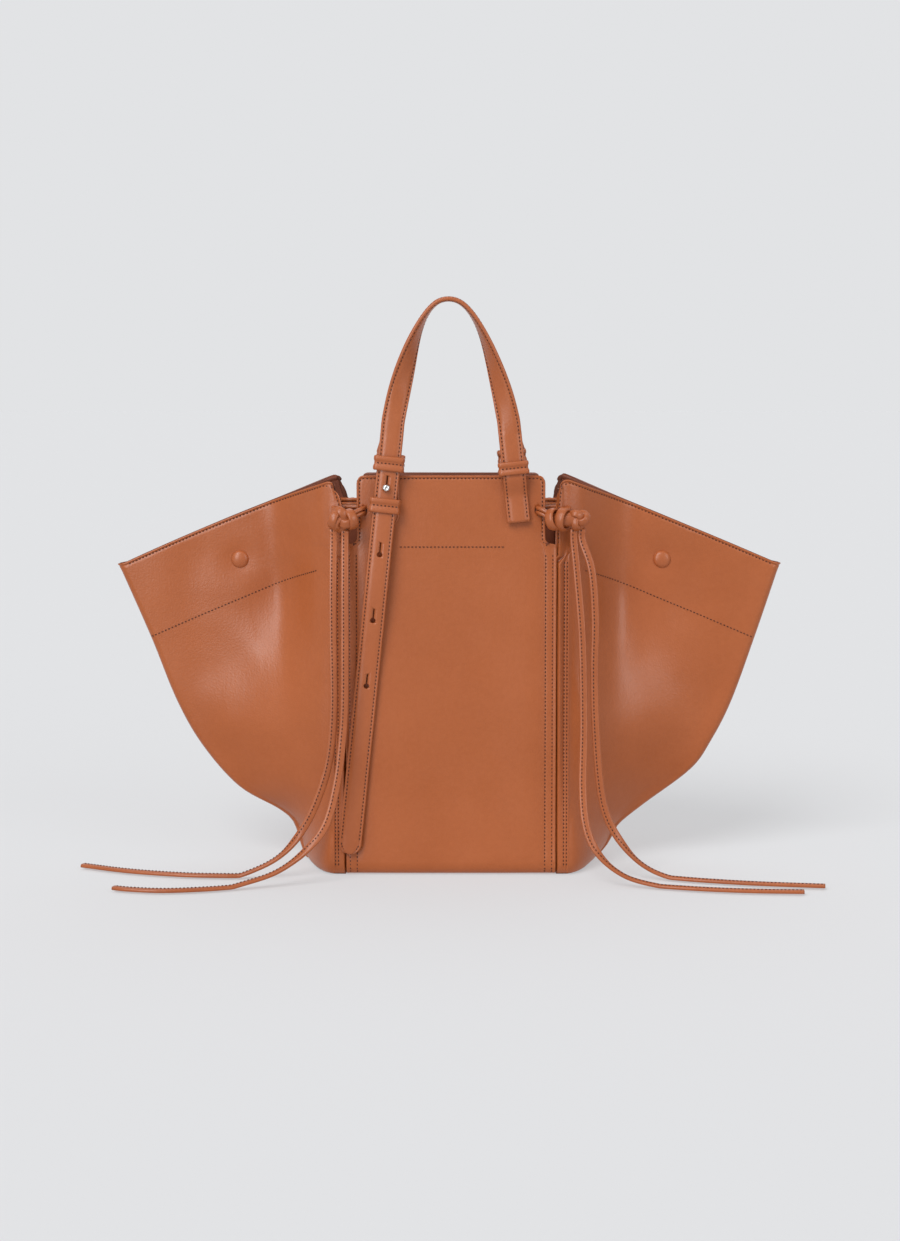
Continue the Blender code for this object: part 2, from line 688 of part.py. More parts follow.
def panel_axes(side):
    """Outward normal of a panel, and the direction up along its face."""
    out = Vector((0.0, side * math.cos(PANEL_SLOPE), math.sin(PANEL_SLOPE)))
    up = Vector((0.0, -side * math.sin(PANEL_SLOPE), math.cos(PANEL_SLOPE)))
    return out, up


def leg_frame(side, lean_hand):
    """Frame of a strap leg: X down the strap, Y out of the bag, Z across, from the top of the fixed strap."""
    out, up = panel_axes(side)
    down = Vector((lean_hand * math.sin(STRAP_LEAN), 0.0, 0.0)) - up * math.cos(STRAP_LEAN)
    frame = Matrix((down, out, down.cross(out))).transposed().to_4x4()
    frame.translation = (lean_hand * STRAP_TOP_X, side * face_distance(STRAP_TOP_Z), STRAP_TOP_Z)
    return frame


def adjustable_hand(side):
    """The adjustable end is on the left of whoever faces the panel."""
    return -1 if side < 0 else 1


def stud_place(side):
    """World x and z of the ball stud."""
    frame = leg_frame(side, adjustable_hand(side))
    point = frame @ Vector((STUD_T, 0.0, 0.0))
    return point.x, point.z


def strap_mesh(points, frame):
    """Flat strap along (down, out) points in a leg frame."""
    radius = STRAP_THICKNESS / 2
    mesh = tube_mesh([(t, d, 0.0) for t, d in points], radius, 1, STRAP_WIDTH / 2 - radius)
    mesh.transform(frame)
    return mesh


def ring_mesh(frame, t, d, width, depth, height):
    """Keeper: a rounded rectangular ring round a strap."""
    outer = rounded([(width / 2, depth / 2, 0.002), (-width / 2, depth / 2, 0.002),
                     (-width / 2, -depth / 2, 0.002), (width / 2, -depth / 2, 0.002)], 3)
    half_w = width / 2 - KEEPER_WALL
    half_d = depth / 2 - KEEPER_WALL
    inner = rounded([(half_w, half_d, 0.0008), (-half_w, half_d, 0.0008), (-half_w, -half_d, 0.0008),
                     (half_w, -half_d, 0.0008)], 2)
    local = Matrix(((0, 0, 1, t), (0, 1, 0, d), (-1, 0, 0, 0), (0, 0, 0, 1)))
    return flat_solid([outer, inner], height, frame @ local)


def keyhole_outline(t):
    """Round hole with a slit above it, in (down, across) coordinates."""
    slit_top = t - KEYHOLE_RADIUS - KEYHOLE_SLIT_LENGTH
    half = KEYHOLE_SLIT_WIDTH / 2
    start = math.asin(half / KEYHOLE_RADIUS)
    outline = [(slit_top, -half), (slit_top, half)]
    for step in range(13):
        angle = start + (2 * math.pi - 2 * start) * step / 12
        outline.append((t - KEYHOLE_RADIUS * math.cos(angle), KEYHOLE_RADIUS * math.sin(angle)))
    return outline


def cut_keyholes(tail, label, frame):
    """Cut the row of keyholes; the uppermost one is on the stud."""
    local = Matrix(((1, 0, 0, 0), (0, 0, -1, 0), (0, 1, 0, 0), (0, 0, 0, 1)))
    for index in range(KEYHOLE_COUNT):
        t = STUD_T + index * KEYHOLE_SPACING
        shift = Matrix.Translation((0.0, strap_distance(t), 0.0))
        mesh = flat_solid([keyhole_outline(t)], 4 * STRAP_THICKNESS, frame @ shift @ local)
        boolean(tail, add_cutter(f"{label}_keyhole_{index + 1}", mesh))


def strap_distance(t):
    """Distance of the adjustable strap's middle from the panel, down its length."""
    resting = STRAP_REST_GAP + STRAP_THICKNESS / 2
    settle_start = FREE_KEEPER_T + 0.055
    settle_end = settle_start + 0.090
    return lerp(STRAP_OFFSET, resting, smoothstep((t - settle_start) / (settle_end - settle_start)))


def sewn_distance(t):
    """Distance of the sewn strap end's middle from the panel: it comes down to it under its keeper."""
    sewn = GAP + STRAP_THICKNESS / 2
    start = END_KEEPER_T + KEEPER_HEIGHT / 2 + KEEPER_PLAY
    return lerp(STRAP_OFFSET, sewn, smoothstep((t - start) / 0.018))


def hinge_point(side):
    """Middle of a handle's swing: out by the bend radius, half a bend length above the strap's fixed end."""
    out, up = panel_axes(side)
    top = leg_frame(side, 1).translation + out * (STRAP_OFFSET + BEND_RADIUS) + up * BEND_LENGTH / 2
    return Vector((0.0, top.y, top.z))


def arch_foot(side, lean_hand, beyond=0.0):
    """Point of the upright arch's leg, at its lower end or a length beyond it."""
    length = BEND_LENGTH / math.cos(STRAP_LEAN) + beyond
    return leg_frame(side, lean_hand) @ Vector((-length, STRAP_OFFSET, 0.0))


def arch_share(z):
    """Share of the handle's rise at a height of the upright arch."""
    return min(max((z - STRAP_TOP_Z) / HANDLE_RISE, 0.0), 1.0)


def arch_points(side):
    """Upright arch from left to right, in the vertical plane through its two feet."""
    foot = arch_foot(side, 1, FLEX_GAP)
    shin = arch_foot(side, 1, 0.008)
    right = [Vector((foot.x, foot.y, foot.z)), Vector((shin.x, foot.y, shin.z))]
    first = math.asin(arch_share(shin.z + 0.006) ** (1 / HANDLE_RISE_POWER))
    steps = 9
    for step in range(steps + 1):
        angle = lerp(first, math.pi / 2, step / steps)
        x = STRAP_TOP_X * max(math.cos(angle), 0.0) ** HANDLE_SIDE_POWER
        right.append(Vector((x, foot.y, STRAP_TOP_Z + HANDLE_RISE * math.sin(angle) ** HANDLE_RISE_POWER)))
    left = [Vector((-point.x, point.y, point.z)) for point in right]
    arch = left + right[-2::-1]
    shift = adjustable_hand(side) * HANDLE_SHIFT
    return smooth_route([point + Vector((shift * arch_share(point.z) ** 2, 0.0, 0.0)) for point in arch], 37)


def arch_tilt(point, side):
    """Tilt of the strap at a point of the upright arch: flat at the legs, on edge at the top."""
    start = ADJUSTABLE_TWIST_START if point.x * adjustable_hand(side) > 0 else SEWN_TWIST_START
    power = 1.0 if start == ADJUSTABLE_TWIST_START else 0.9
    share = max(arch_share(point.z) - start, 0.0) / (1 - start)
    return math.pi / 2 * (1 - min(lerp(share, smoothstep(share), 0.6) ** power, 1.0))


def swing_matrix(side, angle):
    """Turn about the handle's hinge, outwards and down for a positive angle."""
    centre = hinge_point(side)
    turn = Matrix.Rotation(-side * angle, 4, "X")
    return Matrix.Translation(centre) @ turn @ Matrix.Translation(-centre)


def make_arch(label, side, hang):
    """Handle arch: modelled upright, then turned down outside the bag by the hang angle."""
    path = arch_points(side)
    local = [(point.x, point.z, 0.0) for point in path]
    tilts = [-side * arch_tilt(point, side) for point in path]
    radius = STRAP_THICKNESS / 2
    mesh = tube_mesh(local, radius, 1, STRAP_WIDTH / 2 - radius, tilts)
    stand = Matrix.Translation((0.0, path[0].y, 0.0)) @ Matrix.Rotation(math.pi / 2, 4, "X")
    mesh.transform(swing_matrix(side, hang) @ stand)
    arch = add_piece(f"{label}_handle", mesh, LEATHER)
    set_origin(arch, hinge_point(side))


def make_bend(name, side, lean_hand, hang):
    """Stretch of strap that flexes: straight under an upright handle, a half loop under a hanging one."""
    frame = leg_frame(side, lean_hand)
    length = BEND_LENGTH / math.cos(STRAP_LEAN)
    steps = 2 if hang == 0 else 10
    points = [(-lerp(FLEX_GAP, length - FLEX_GAP, step / steps), STRAP_OFFSET) for step in range(steps + 1)]
    mesh = strap_mesh(points, frame)
    if hang != 0:
        low = frame @ Vector((0.0, STRAP_OFFSET, 0.0))
        out, up = panel_axes(side)
        for vert in mesh.vertices:
            offset = vert.co - low
            angle = max(offset.dot(up), 0.0) / BEND_LENGTH * hang
            arm = BEND_RADIUS - offset.dot(out)
            rise = arm * math.sin(angle) + min(offset.dot(up), 0.0)
            bent = low + out * (BEND_RADIUS - arm * math.cos(angle)) + up * rise
            vert.co = (vert.co.x, bent.y, bent.z)
    add_piece(name, mesh, LEATHER)


def stud_profile():
    """Ball stud: ball head, neck through the keyhole and a foot on the anchor tab."""
    foot = 0.0010
    neck = STRAP_OFFSET + STRAP_THICKNESS / 2 - GAP - TAB_THICKNESS - GAP
    centre = neck + STUD_BALL_RADIUS * 0.8
    profile = []
    start = math.asin(STUD_NECK_RADIUS / STUD_BALL_RADIUS)
    for step in range(6):
        angle = math.pi * step / 5 * (1 - start / math.pi)
        profile.append((STUD_BALL_RADIUS * math.sin(angle), centre + STUD_BALL_RADIUS * math.cos(angle)))
    profile[0] = (0.0, profile[0][1])
    return profile + [(STUD_NECK_RADIUS, foot + 0.0006), (STUD_FOOT_RADIUS, foot),
                      (STUD_FOOT_RADIUS, 0.0), (0.0, 0.0)]


def make_handle(label, side, hang):
    """All pieces of one handle; the hang angle is 0 where the handle stands upright."""
    hand = adjustable_hand(side)
    frame = leg_frame(side, hand)
    sewn_frame = leg_frame(side, -hand)
    make_arch(label, side, hang)
    make_bend(f"{label}_strap_bend_adjustable", side, hand, hang)
    make_bend(f"{label}_strap_bend_sewn", side, -hand, hang)

    stations = [0.0, 0.03, FREE_KEEPER_T + 0.050]
    stations += [FREE_KEEPER_T + 0.055 + 0.09 * step / 6 for step in range(7)]
    stations += [0.25, STRAP_TAIL_LENGTH - 0.009]
    tail_points = [(t, strap_distance(t)) for t in stations] + [(STRAP_TAIL_LENGTH, strap_distance(1.0))]
    tail = add_piece(f"{label}_strap_tail", strap_mesh(tail_points, frame), LEATHER)
    tip = rounded([(-OVERSHOOT, -STRAP_WIDTH, 0.0), (STRAP_TAIL_LENGTH, -STRAP_WIDTH / 2, 0.0085),
                   (STRAP_TAIL_LENGTH, STRAP_WIDTH / 2, 0.0085), (-OVERSHOOT, STRAP_WIDTH, 0.0)], 5)
    local = Matrix(((1, 0, 0, 0), (0, 0, -1, 0), (0, 1, 0, 0), (0, 0, 0, 1)))
    boolean(tail, add_cutter(f"{label}_strap_tip", flat_solid([tip], 0.08, frame @ local)), "INTERSECT")
    cut_keyholes(tail, label, frame)

    stations = [0.0, 0.016, 0.0205, 0.025, 0.0295, 0.035, STRAP_END_LENGTH]
    sewn_points = [(t, sewn_distance(t)) for t in stations]
    add_piece(f"{label}_strap_end", strap_mesh(sewn_points, sewn_frame), LEATHER)

    stud_x, stud_z = stud_place(side)
    top = BODY_HEIGHT + TAB_TOP_ABOVE_BODY
    low = stud_z - TAB_BELOW_STUD
    half = TAB_WIDTH / 2
    middle = stud_x - hand * TAB_SHIFT
    outline = rounded([(middle - half, low, half * 0.95), (middle + half, low, half * 0.95),
                       (middle + half, top, 0.001), (middle - half, top, 0.001)])
    tab_depth = GAP + TAB_THICKNESS / 2
    lean = Matrix.Rotation(side * PANEL_SLOPE, 4, "X")
    place = Matrix.Translation((0.0, side * face_distance(stud_z), stud_z))
    tab_frame = place @ lean @ Matrix.Translation((0.0, side * tab_depth, -stud_z))
    tab_mesh = flat_solid([outline], TAB_THICKNESS, tab_frame @ front_view_matrix(0.0))
    tab = add_piece(f"{label}_anchor_tab", tab_mesh, LEATHER)
    reach = sorted((side * (MOUTH_DEPTH / 2 - 0.01), side * (MOUTH_DEPTH / 2 + 0.02)))
    boolean(tab, through_cutter(f"{label}_tab_hole", stud_x, stud_z, SCREW_RADIUS + 2 * GAP, *reach))

    upper_depth = STRAP_OFFSET + STRAP_THICKNESS / 2 + 2 * KEEPER_PLAY + 2 * KEEPER_WALL
    upper_middle = (STRAP_OFFSET + STRAP_THICKNESS / 2) / 2 + 0.0001
    upper = ring_mesh(frame, UPPER_KEEPER_T, upper_middle, KEEPER_WIDTH, upper_depth, KEEPER_HEIGHT)
    add_piece(f"{label}_upper_keeper", upper, LEATHER)
    ring_depth = KEEPER_BORE + 2 * KEEPER_WALL
    free = ring_mesh(frame, FREE_KEEPER_T, STRAP_OFFSET, KEEPER_WIDTH, ring_depth, KEEPER_HEIGHT)
    slider = add_piece(f"{label}_free_keeper", free, LEATHER)
    set_origin(slider, frame @ Vector((FREE_KEEPER_T, STRAP_OFFSET, 0.0)))
    end_height = KEEPER_HEIGHT - 0.0012
    end = ring_mesh(sewn_frame, END_KEEPER_T, STRAP_OFFSET, KEEPER_WIDTH, ring_depth, end_height)
    add_piece(f"{label}_end_keeper", end, LEATHER)

    outward = Matrix.Rotation(-math.pi / 2, 4, "X")
    stud_face = frame @ Matrix.Translation((STUD_T, GAP + TAB_THICKNESS + GAP, 0.0)) @ outward
    add_piece(f"{label}_ball_stud", turned_mesh(stud_profile(), stud_face), STEEL)
    inner_face = -(PANEL_SKIN + GAP + FACING_SKIN + GAP)
    screw_length = GAP + TAB_THICKNESS - inner_face
    screw = [(0.0, screw_length), (SCREW_RADIUS, screw_length), (SCREW_RADIUS, 0.0), (SCREW_HEAD_RADIUS, 0.0),
             (SCREW_HEAD_RADIUS, -SCREW_HEAD_HEIGHT), (0.0, -SCREW_HEAD_HEIGHT)]
    head = frame @ Matrix.Translation((STUD_T, inner_face, 0.0)) @ outward
    add_piece(f"{label}_stud_screw", turned_mesh(screw, head, 12), STEEL)


# Ties

def knot_radius(length, offset):
    """Radius of a knot's wraps at an offset from its middle."""
    share = 0.5 - offset / length
    swell = math.sin(math.pi * (0.14 + 0.72 * share)) ** 0.5
    groove = 1 - 0.16 * (0.5 + 0.5 * math.cos(2 * math.pi * KNOT_WRAPS * share))
    return KNOT_RADIUS * swell * groove


def knot_middle(side, knot):
    x, z, length = knot
    return Vector((x, side * (face_distance(z) + GAP + KNOT_RADIUS + KNOT_STANDOFF), z))


def make_knot(label, side, knot):
    """Wrapped knot over a notch, and the loop that runs through the holes of panel and gusset."""
    middle = knot_middle(side, knot)
    length = knot[2]
    hand = math.copysign(1, middle.x)
    steps = 12
    profile = [(0.0, length / 2)]
    for step in range(steps + 1):
        offset = length * (0.5 - step / steps)
        profile.append((knot_radius(length, offset), offset))
    profile.append((0.0, -length / 2))
    turn = Matrix.Rotation(math.pi / 2, 4, "Y")
    mesh = turned_mesh(profile, Matrix.Translation(middle) @ turn, 10)
    piece = add_piece(f"{label}_tie_knot", mesh, LEATHER)
    face = face_distance(TIE_HOLE_Z)
    depth = abs(middle.y)
    between = (PANEL_HOLE_X + WING_HOLE_X) / 2
    route = [
        (PANEL_HOLE_X + 0.0140, depth - 0.0010, middle.z),
        (PANEL_HOLE_X + 0.0070, face + 0.0062, TIE_HOLE_Z - 0.0030),
        (PANEL_HOLE_X + 0.0012, face + 0.0034, TIE_HOLE_Z - 0.0004),
        (PANEL_HOLE_X, face - 0.0010, TIE_HOLE_Z),
        (PANEL_HOLE_X + 0.0008, face - 0.0066, TIE_HOLE_Z),
        (PANEL_HOLE_X + 0.0060, face - 0.0104, TIE_HOLE_Z),
        (between, face - 0.0116, TIE_HOLE_Z),
        (WING_HOLE_X - 0.0060, face - 0.0106, TIE_HOLE_Z),
        (WING_HOLE_X - 0.0006, face - 0.0070, TIE_HOLE_Z),
        (WING_HOLE_X, face - 0.0020, TIE_HOLE_Z),
        (WING_HOLE_X - 0.0004, face + 0.0035, TIE_HOLE_Z - 0.0010),
        (WING_HOLE_X - 0.0020, depth - 0.0010, middle.z + 0.0010),
    ]
    points = smooth_route([(hand * x, side * distance, z) for x, distance, z in route], 22)
    boolean(piece, add_cutter(f"{label}_tie_loop", tube_mesh(points, TIE_RADIUS, 1)), "UNION")


def make_tail(name, side, knot, offset, route):
    """Free end of a tie: it leaves the knot at an offset from its middle, hangs, and lies on the ground."""
    middle = knot_middle(side, knot)
    fullest = max(knot_radius(knot[2], offset + shift) for shift in (-TAIL_RADIUS, 0.0, TAIL_RADIUS))
    start = Vector((middle.x + offset, middle.y, middle.z - fullest - GAP))
    below = start - Vector((0.0, 0.0, 0.010))
    route = [start, below] + route
    rough = smooth_route(route, 60)
    count = round(route_length(rough) / (2.8 * 2 * TAIL_RADIUS))
    points = smooth_route(route, count)
    for point in points:
        point.z = max(point.z, TAIL_RADIUS + GAP)
    add_piece(name, tube_mesh(points, TAIL_RADIUS, 2), LEATHER)
    print(name, "length", round(route_length(points), 4))


GROUND = TAIL_RADIUS + GAP
FRONT_LEFT_OUTER = [
    (-0.0966, -0.0680, 0.2400), (-0.0966, -0.0700, 0.1986), (-0.0962, -0.0730, 0.1444), (-0.0995, -0.0740, 0.1028),
    (-0.1079, -0.0750, 0.0720), (-0.1205, -0.0755, 0.0444), (-0.1385, -0.0760, 0.0215), (-0.1600, -0.0770, 0.0085),
    (-0.1880, -0.0775, GROUND), (-0.2239, -0.0740, GROUND), (-0.2688, -0.0615, GROUND), (-0.3105, -0.0419, GROUND),
]
FRONT_LEFT_INNER = [
    (-0.0868, -0.0700, 0.2400), (-0.0868, -0.0740, 0.1992), (-0.0872, -0.0780, 0.1452), (-0.0890, -0.0800, 0.1177),
    (-0.0930, -0.0850, 0.0844), (-0.1020, -0.0935, 0.0500), (-0.1179, -0.1010, 0.0300), (-0.1410, -0.1060, 0.0135),
    (-0.1680, -0.1120, 0.0050), (-0.1970, -0.1210, GROUND), (-0.2313, -0.1260, GROUND), (-0.2600, -0.1215, GROUND),
    (-0.2728, -0.1165, GROUND),
]
FRONT_RIGHT_INNER = [
    (0.1034, -0.0660, 0.2500), (0.1074, -0.0710, 0.1987), (0.1087, -0.0780, 0.1311), (0.1078, -0.0860, 0.0777),
    (0.1105, -0.0940, 0.0478), (0.1190, -0.1000, 0.0285), (0.1345, -0.1040, 0.0135), (0.1560, -0.1080, 0.0050),
    (0.2009, -0.1200, GROUND), (0.2420, -0.1265, GROUND), (0.2836, -0.1290, GROUND),
]
FRONT_RIGHT_OUTER = [
    (0.1150, -0.0680, 0.2552), (0.1180, -0.0700, 0.2151), (0.1175, -0.0715, 0.1750), (0.1186, -0.0730, 0.1302),
    (0.1223, -0.0740, 0.0819), (0.1279, -0.0750, 0.0544), (0.1390, -0.0765, 0.0330), (0.1560, -0.0785, 0.0140),
    (0.1778, -0.0830, 0.0036), (0.2080, -0.0930, GROUND), (0.2500, -0.1030, GROUND), (0.3037, -0.1110, GROUND),
]
BACK_LEFT_OUTER = [
    (-0.0990, 0.0680, 0.2500), (-0.0985, 0.0720, 0.1900), (-0.0975, 0.0750, 0.1200), (-0.0965, 0.0780, 0.0620),
    (-0.0950, 0.0830, 0.0270), (-0.0900, 0.0920, 0.0090), (-0.0800, 0.1010, GROUND), (-0.0560, 0.1060, GROUND),
    (-0.0250, 0.1070, GROUND), (0.0100, 0.1060, GROUND), (0.0420, 0.1050, GROUND),
]
BACK_LEFT_INNER = [
    (-0.0880, 0.0690, 0.2500), (-0.0880, 0.0720, 0.1900), (-0.0880, 0.0740, 0.1200), (-0.0875, 0.0760, 0.0560),
    (-0.0850, 0.0800, 0.0240), (-0.0785, 0.0860, 0.0080), (-0.0680, 0.0910, GROUND), (-0.0480, 0.0940, GROUND),
    (-0.0200, 0.0950, GROUND), (0.0100, 0.0940, GROUND), (0.0330, 0.0930, GROUND),
]
BACK_RIGHT_INNER = [
    (0.0880, 0.0690, 0.2500), (0.0890, 0.0730, 0.1900), (0.0900, 0.0770, 0.1200), (0.0910, 0.0830, 0.0620),
    (0.0910, 0.0920, 0.0270), (0.0870, 0.1040, 0.0090), (0.0780, 0.1130, GROUND), (0.0580, 0.1180, GROUND),
    (0.0280, 0.1190, GROUND), (-0.0050, 0.1180, GROUND), (-0.0350, 0.1165, GROUND),
]
BACK_RIGHT_OUTER = [
    (0.0990, 0.0680, 0.2500), (0.1000, 0.0730, 0.1900), (0.1010, 0.0790, 0.1200), (0.1015, 0.0870, 0.0620),
    (0.1010, 0.0980, 0.0270), (0.0970, 0.1120, 0.0090), (0.0880, 0.1230, GROUND), (0.0680, 0.1290, GROUND),
    (0.0360, 0.1310, GROUND), (0.0020, 0.1300, GROUND), (-0.0300, 0.1280, GROUND),
]


def make_ties():
    make_knot("front_left", -1, FRONT_LEFT_KNOT)
    make_knot("front_right", -1, FRONT_RIGHT_KNOT)
    make_knot("back_left", 1, BACK_LEFT_KNOT)
    make_knot("back_right", 1, BACK_RIGHT_KNOT)
    make_tail("front_left_tail_outer", -1, FRONT_LEFT_KNOT, -0.0072, FRONT_LEFT_OUTER)
    make_tail("front_left_tail_inner", -1, FRONT_LEFT_KNOT, 0.0022, FRONT_LEFT_INNER)
    make_tail("front_right_tail_inner", -1, FRONT_RIGHT_KNOT, 0.0055, FRONT_RIGHT_INNER)
    make_tail("front_right_tail_outer", -1, FRONT_RIGHT_KNOT, 0.0123, FRONT_RIGHT_OUTER)
    make_tail("back_left_tail_outer", 1, BACK_LEFT_KNOT, -0.0045, BACK_LEFT_OUTER)
    make_tail("back_left_tail_inner", 1, BACK_LEFT_KNOT, 0.0045, BACK_LEFT_INNER)
    make_tail("back_right_tail_inner", 1, BACK_RIGHT_KNOT, -0.0045, BACK_RIGHT_INNER)
    make_tail("back_right_tail_outer", 1, BACK_RIGHT_KNOT, 0.0045, BACK_RIGHT_OUTER)


def build_bag():
    make_panel("front", -1)
    make_panel("back", 1)
    make_gusset("left", -1)
    make_gusset("right", 1)
    make_base()
    make_snap("left", -1)
    make_snap("right", 1)
    make_handle("front", -1, 0.0)
    make_handle("rear", 1, HANG_ANGLE)
    make_ties()


build_bag()
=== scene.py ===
# %% [markdown]
# # A tan leather tote bag with folded side wings
# The solids of the bag come packed from its CAD source, with the joints of its handles and keepers. This
# lesson dresses them. Each soft piece is built again in Blender as a bag maker would see it: sheets with a
# thickness and a turned edge, straps with a padded face, cords, knots and stitches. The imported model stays
# the frame for all of it.

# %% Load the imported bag
import math

import bmesh
import bpy
from mathutils import Matrix, Vector, noise


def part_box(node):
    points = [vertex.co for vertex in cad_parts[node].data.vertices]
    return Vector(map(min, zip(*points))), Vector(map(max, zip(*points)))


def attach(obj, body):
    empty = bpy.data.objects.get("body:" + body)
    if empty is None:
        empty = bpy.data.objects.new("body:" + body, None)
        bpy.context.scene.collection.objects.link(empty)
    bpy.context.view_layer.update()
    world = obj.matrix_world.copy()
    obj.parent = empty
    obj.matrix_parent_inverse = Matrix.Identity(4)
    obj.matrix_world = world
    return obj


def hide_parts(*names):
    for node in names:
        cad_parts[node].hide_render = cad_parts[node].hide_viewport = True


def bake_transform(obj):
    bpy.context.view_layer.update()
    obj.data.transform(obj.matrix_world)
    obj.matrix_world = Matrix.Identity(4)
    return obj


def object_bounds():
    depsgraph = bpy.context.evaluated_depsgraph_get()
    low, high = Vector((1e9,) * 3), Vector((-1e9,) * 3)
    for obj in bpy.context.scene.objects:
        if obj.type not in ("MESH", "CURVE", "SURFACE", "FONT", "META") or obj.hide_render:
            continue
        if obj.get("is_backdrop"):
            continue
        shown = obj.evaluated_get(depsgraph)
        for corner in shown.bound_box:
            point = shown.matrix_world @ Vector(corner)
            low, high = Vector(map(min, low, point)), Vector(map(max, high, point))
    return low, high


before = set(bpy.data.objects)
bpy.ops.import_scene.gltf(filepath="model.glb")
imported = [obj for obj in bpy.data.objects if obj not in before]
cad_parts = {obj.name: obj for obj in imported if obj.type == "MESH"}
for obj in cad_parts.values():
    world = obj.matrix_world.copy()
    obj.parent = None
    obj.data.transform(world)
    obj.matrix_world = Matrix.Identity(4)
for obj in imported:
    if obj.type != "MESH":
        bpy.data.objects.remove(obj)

scene = bpy.context.scene
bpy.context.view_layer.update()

# %% [markdown]
# The camera comes first, because the cords have to lie inside its view. It stands 1.8 m in front of the
# bag, a little above the middle, and looks slightly down, as the photograph does. A long lens keeps the
# wings flat.

# %% The camera
CAMERA_PLACE = (0.0, -1.8, 0.44)
CAMERA_DOWN = math.radians(7.42)
PICTURE_HEIGHT = 1241
FOCAL_PIXELS = 2134
SENSOR = 36.0
CAMERA_SHIFT = -0.0008

camera_data = bpy.data.cameras.new("camera")
camera_data.sensor_width = SENSOR
camera_data.lens = FOCAL_PIXELS * SENSOR / PICTURE_HEIGHT
camera_data.shift_x = CAMERA_SHIFT
camera = bpy.data.objects.new("camera", camera_data)
camera.location = CAMERA_PLACE
camera.rotation_euler = (math.pi / 2 - CAMERA_DOWN, 0.0, 0.0)
scene.collection.objects.link(camera)
scene.camera = camera
print("lens", round(camera_data.lens, 1), "mm")

# %% [markdown]
# The finishes are named before any piece is made, so that each piece can be given its own. Their nodes are
# filled in near the end, when all the shapes that they have to suit are there.

# %% Name the finishes
LEATHER = bpy.data.materials.new("tan_leather")
STRAP_LEATHER = bpy.data.materials.new("strap_leather")
CORD_LEATHER = bpy.data.materials.new("cord_leather")
EDGE_PAINT = bpy.data.materials.new("painted_edge")
# The flesh side and the facing are darker than the outer leather: painted shade for the inside of the bag.
FLESH_SIDE_PAINTED_SHADE = bpy.data.materials.new("flesh_side_painted_shade")
FACING_LEATHER_PAINTED_SHADE = bpy.data.materials.new("facing_leather_painted_shade")
BOARD_COVER = bpy.data.materials.new("board_cover")
THREAD = bpy.data.materials.new("brown_thread")
STEEL = bpy.data.materials.new("polished_steel")
print("finishes:", [material.name for material in bpy.data.materials])

# %% [markdown]
# Most pieces of a bag are sheets, so one helper lays a grid and puts every crossing of its lines where a
# function says. A second one turns the result into a piece with its finishes, and a third gives a sheet its
# wall, a painted rim and slightly rounded edges where it needs them.


# %% Small sums
def lerp(first, second, share):
    """Value at a share of the way from the first to the second."""
    return first + (second - first) * share


def smoothstep(value):
    """A soft step from 0 to 1 while the value goes from 0 to 1."""
    value = min(max(value, 0.0), 1.0)
    return value * value * (3 - 2 * value)


def hill(value, middle, width):
    """A smooth hill of height 1 around the middle."""
    return math.exp(-((value - middle) / width) ** 2)


# %% A sheet as a grid
def lay(across, along, place):
    """A grid with one point for each pair of the two lists, put where place says."""
    bm = bmesh.new()
    bm.loops.layers.uv.new("run")
    columns, rows = len(across) - 1, len(along) - 1
    bmesh.ops.create_grid(bm, x_segments=columns, y_segments=rows, size=0.5, calc_uvs=True)
    for vert in bm.verts:
        column = round((vert.co.x + 0.5) * columns)
        row = round((vert.co.y + 0.5) * rows)
        vert.co = place(across[column], along[row])
    return bm


def face_out(bm):
    """Turn an open sheet's faces away from the bag's upright axis."""
    bm.normal_update()
    total = 0.0
    for face in bm.faces:
        away = face.calc_center_median()
        total += face.normal.dot(Vector((away.x, away.y, 0.0))) * face.calc_area()
    if total < 0:
        bmesh.ops.reverse_faces(bm, faces=bm.faces)


# %% From a mesh to a piece
def link_piece(bm, name, materials):
    """Put a bmesh into the scene as a smooth piece with its finishes."""
    mesh = bpy.data.meshes.new(name)
    bm.to_mesh(mesh)
    bm.free()
    mesh.shade_smooth()
    for material in materials:
        mesh.materials.append(material)
    piece = bpy.data.objects.new(name, mesh)
    scene.collection.objects.link(piece)
    return piece


EDGE_ANGLE = 55


def thicken(piece, wall, edge=0.0004):
    """Give a sheet its wall, inwards; the rim takes the second finish and the inside the third, if any."""
    solid = piece.modifiers.new("wall", "SOLIDIFY")
    solid.thickness = wall
    solid.offset = -1.0
    solid.material_offset_rim = 1
    solid.material_offset = 2 if len(piece.data.materials) > 2 else 0
    if edge:
        bevel = piece.modifiers.new("edge", "BEVEL")
        bevel.width = edge
        bevel.segments = 2
        bevel.limit_method = "ANGLE"
        bevel.angle_limit = math.radians(EDGE_ANGLE)
    return piece


def finish_node(node, material):
    """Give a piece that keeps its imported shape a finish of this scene."""
    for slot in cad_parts[node].material_slots:
        slot.material = material


# %% Cut and punched holes
PUNCH_RADIUS = 0.0030
PUNCH_DEPTH = 0.020


def cut_out(piece, cutters, crossing=False):
    """Cut closed meshes out of a piece; crossing says that the parts of a cutter overlap."""
    tools = []
    for bm in cutters:
        mesh = bpy.data.meshes.new("cutter")
        bm.to_mesh(mesh)
        bm.free()
        tool = bpy.data.objects.new("cutter", mesh)
        scene.collection.objects.link(tool)
        tools.append(tool)
        hole = piece.modifiers.new("hole", "BOOLEAN")
        hole.operation = "DIFFERENCE"
        hole.solver = "EXACT"
        hole.use_self = crossing
        hole.object = tool
    bpy.context.view_layer.update()
    shaped = piece.evaluated_get(bpy.context.evaluated_depsgraph_get())
    mesh = bpy.data.meshes.new_from_object(shaped)
    piece.modifiers.clear()
    piece.data = mesh
    for tool in tools:
        bpy.data.objects.remove(tool)


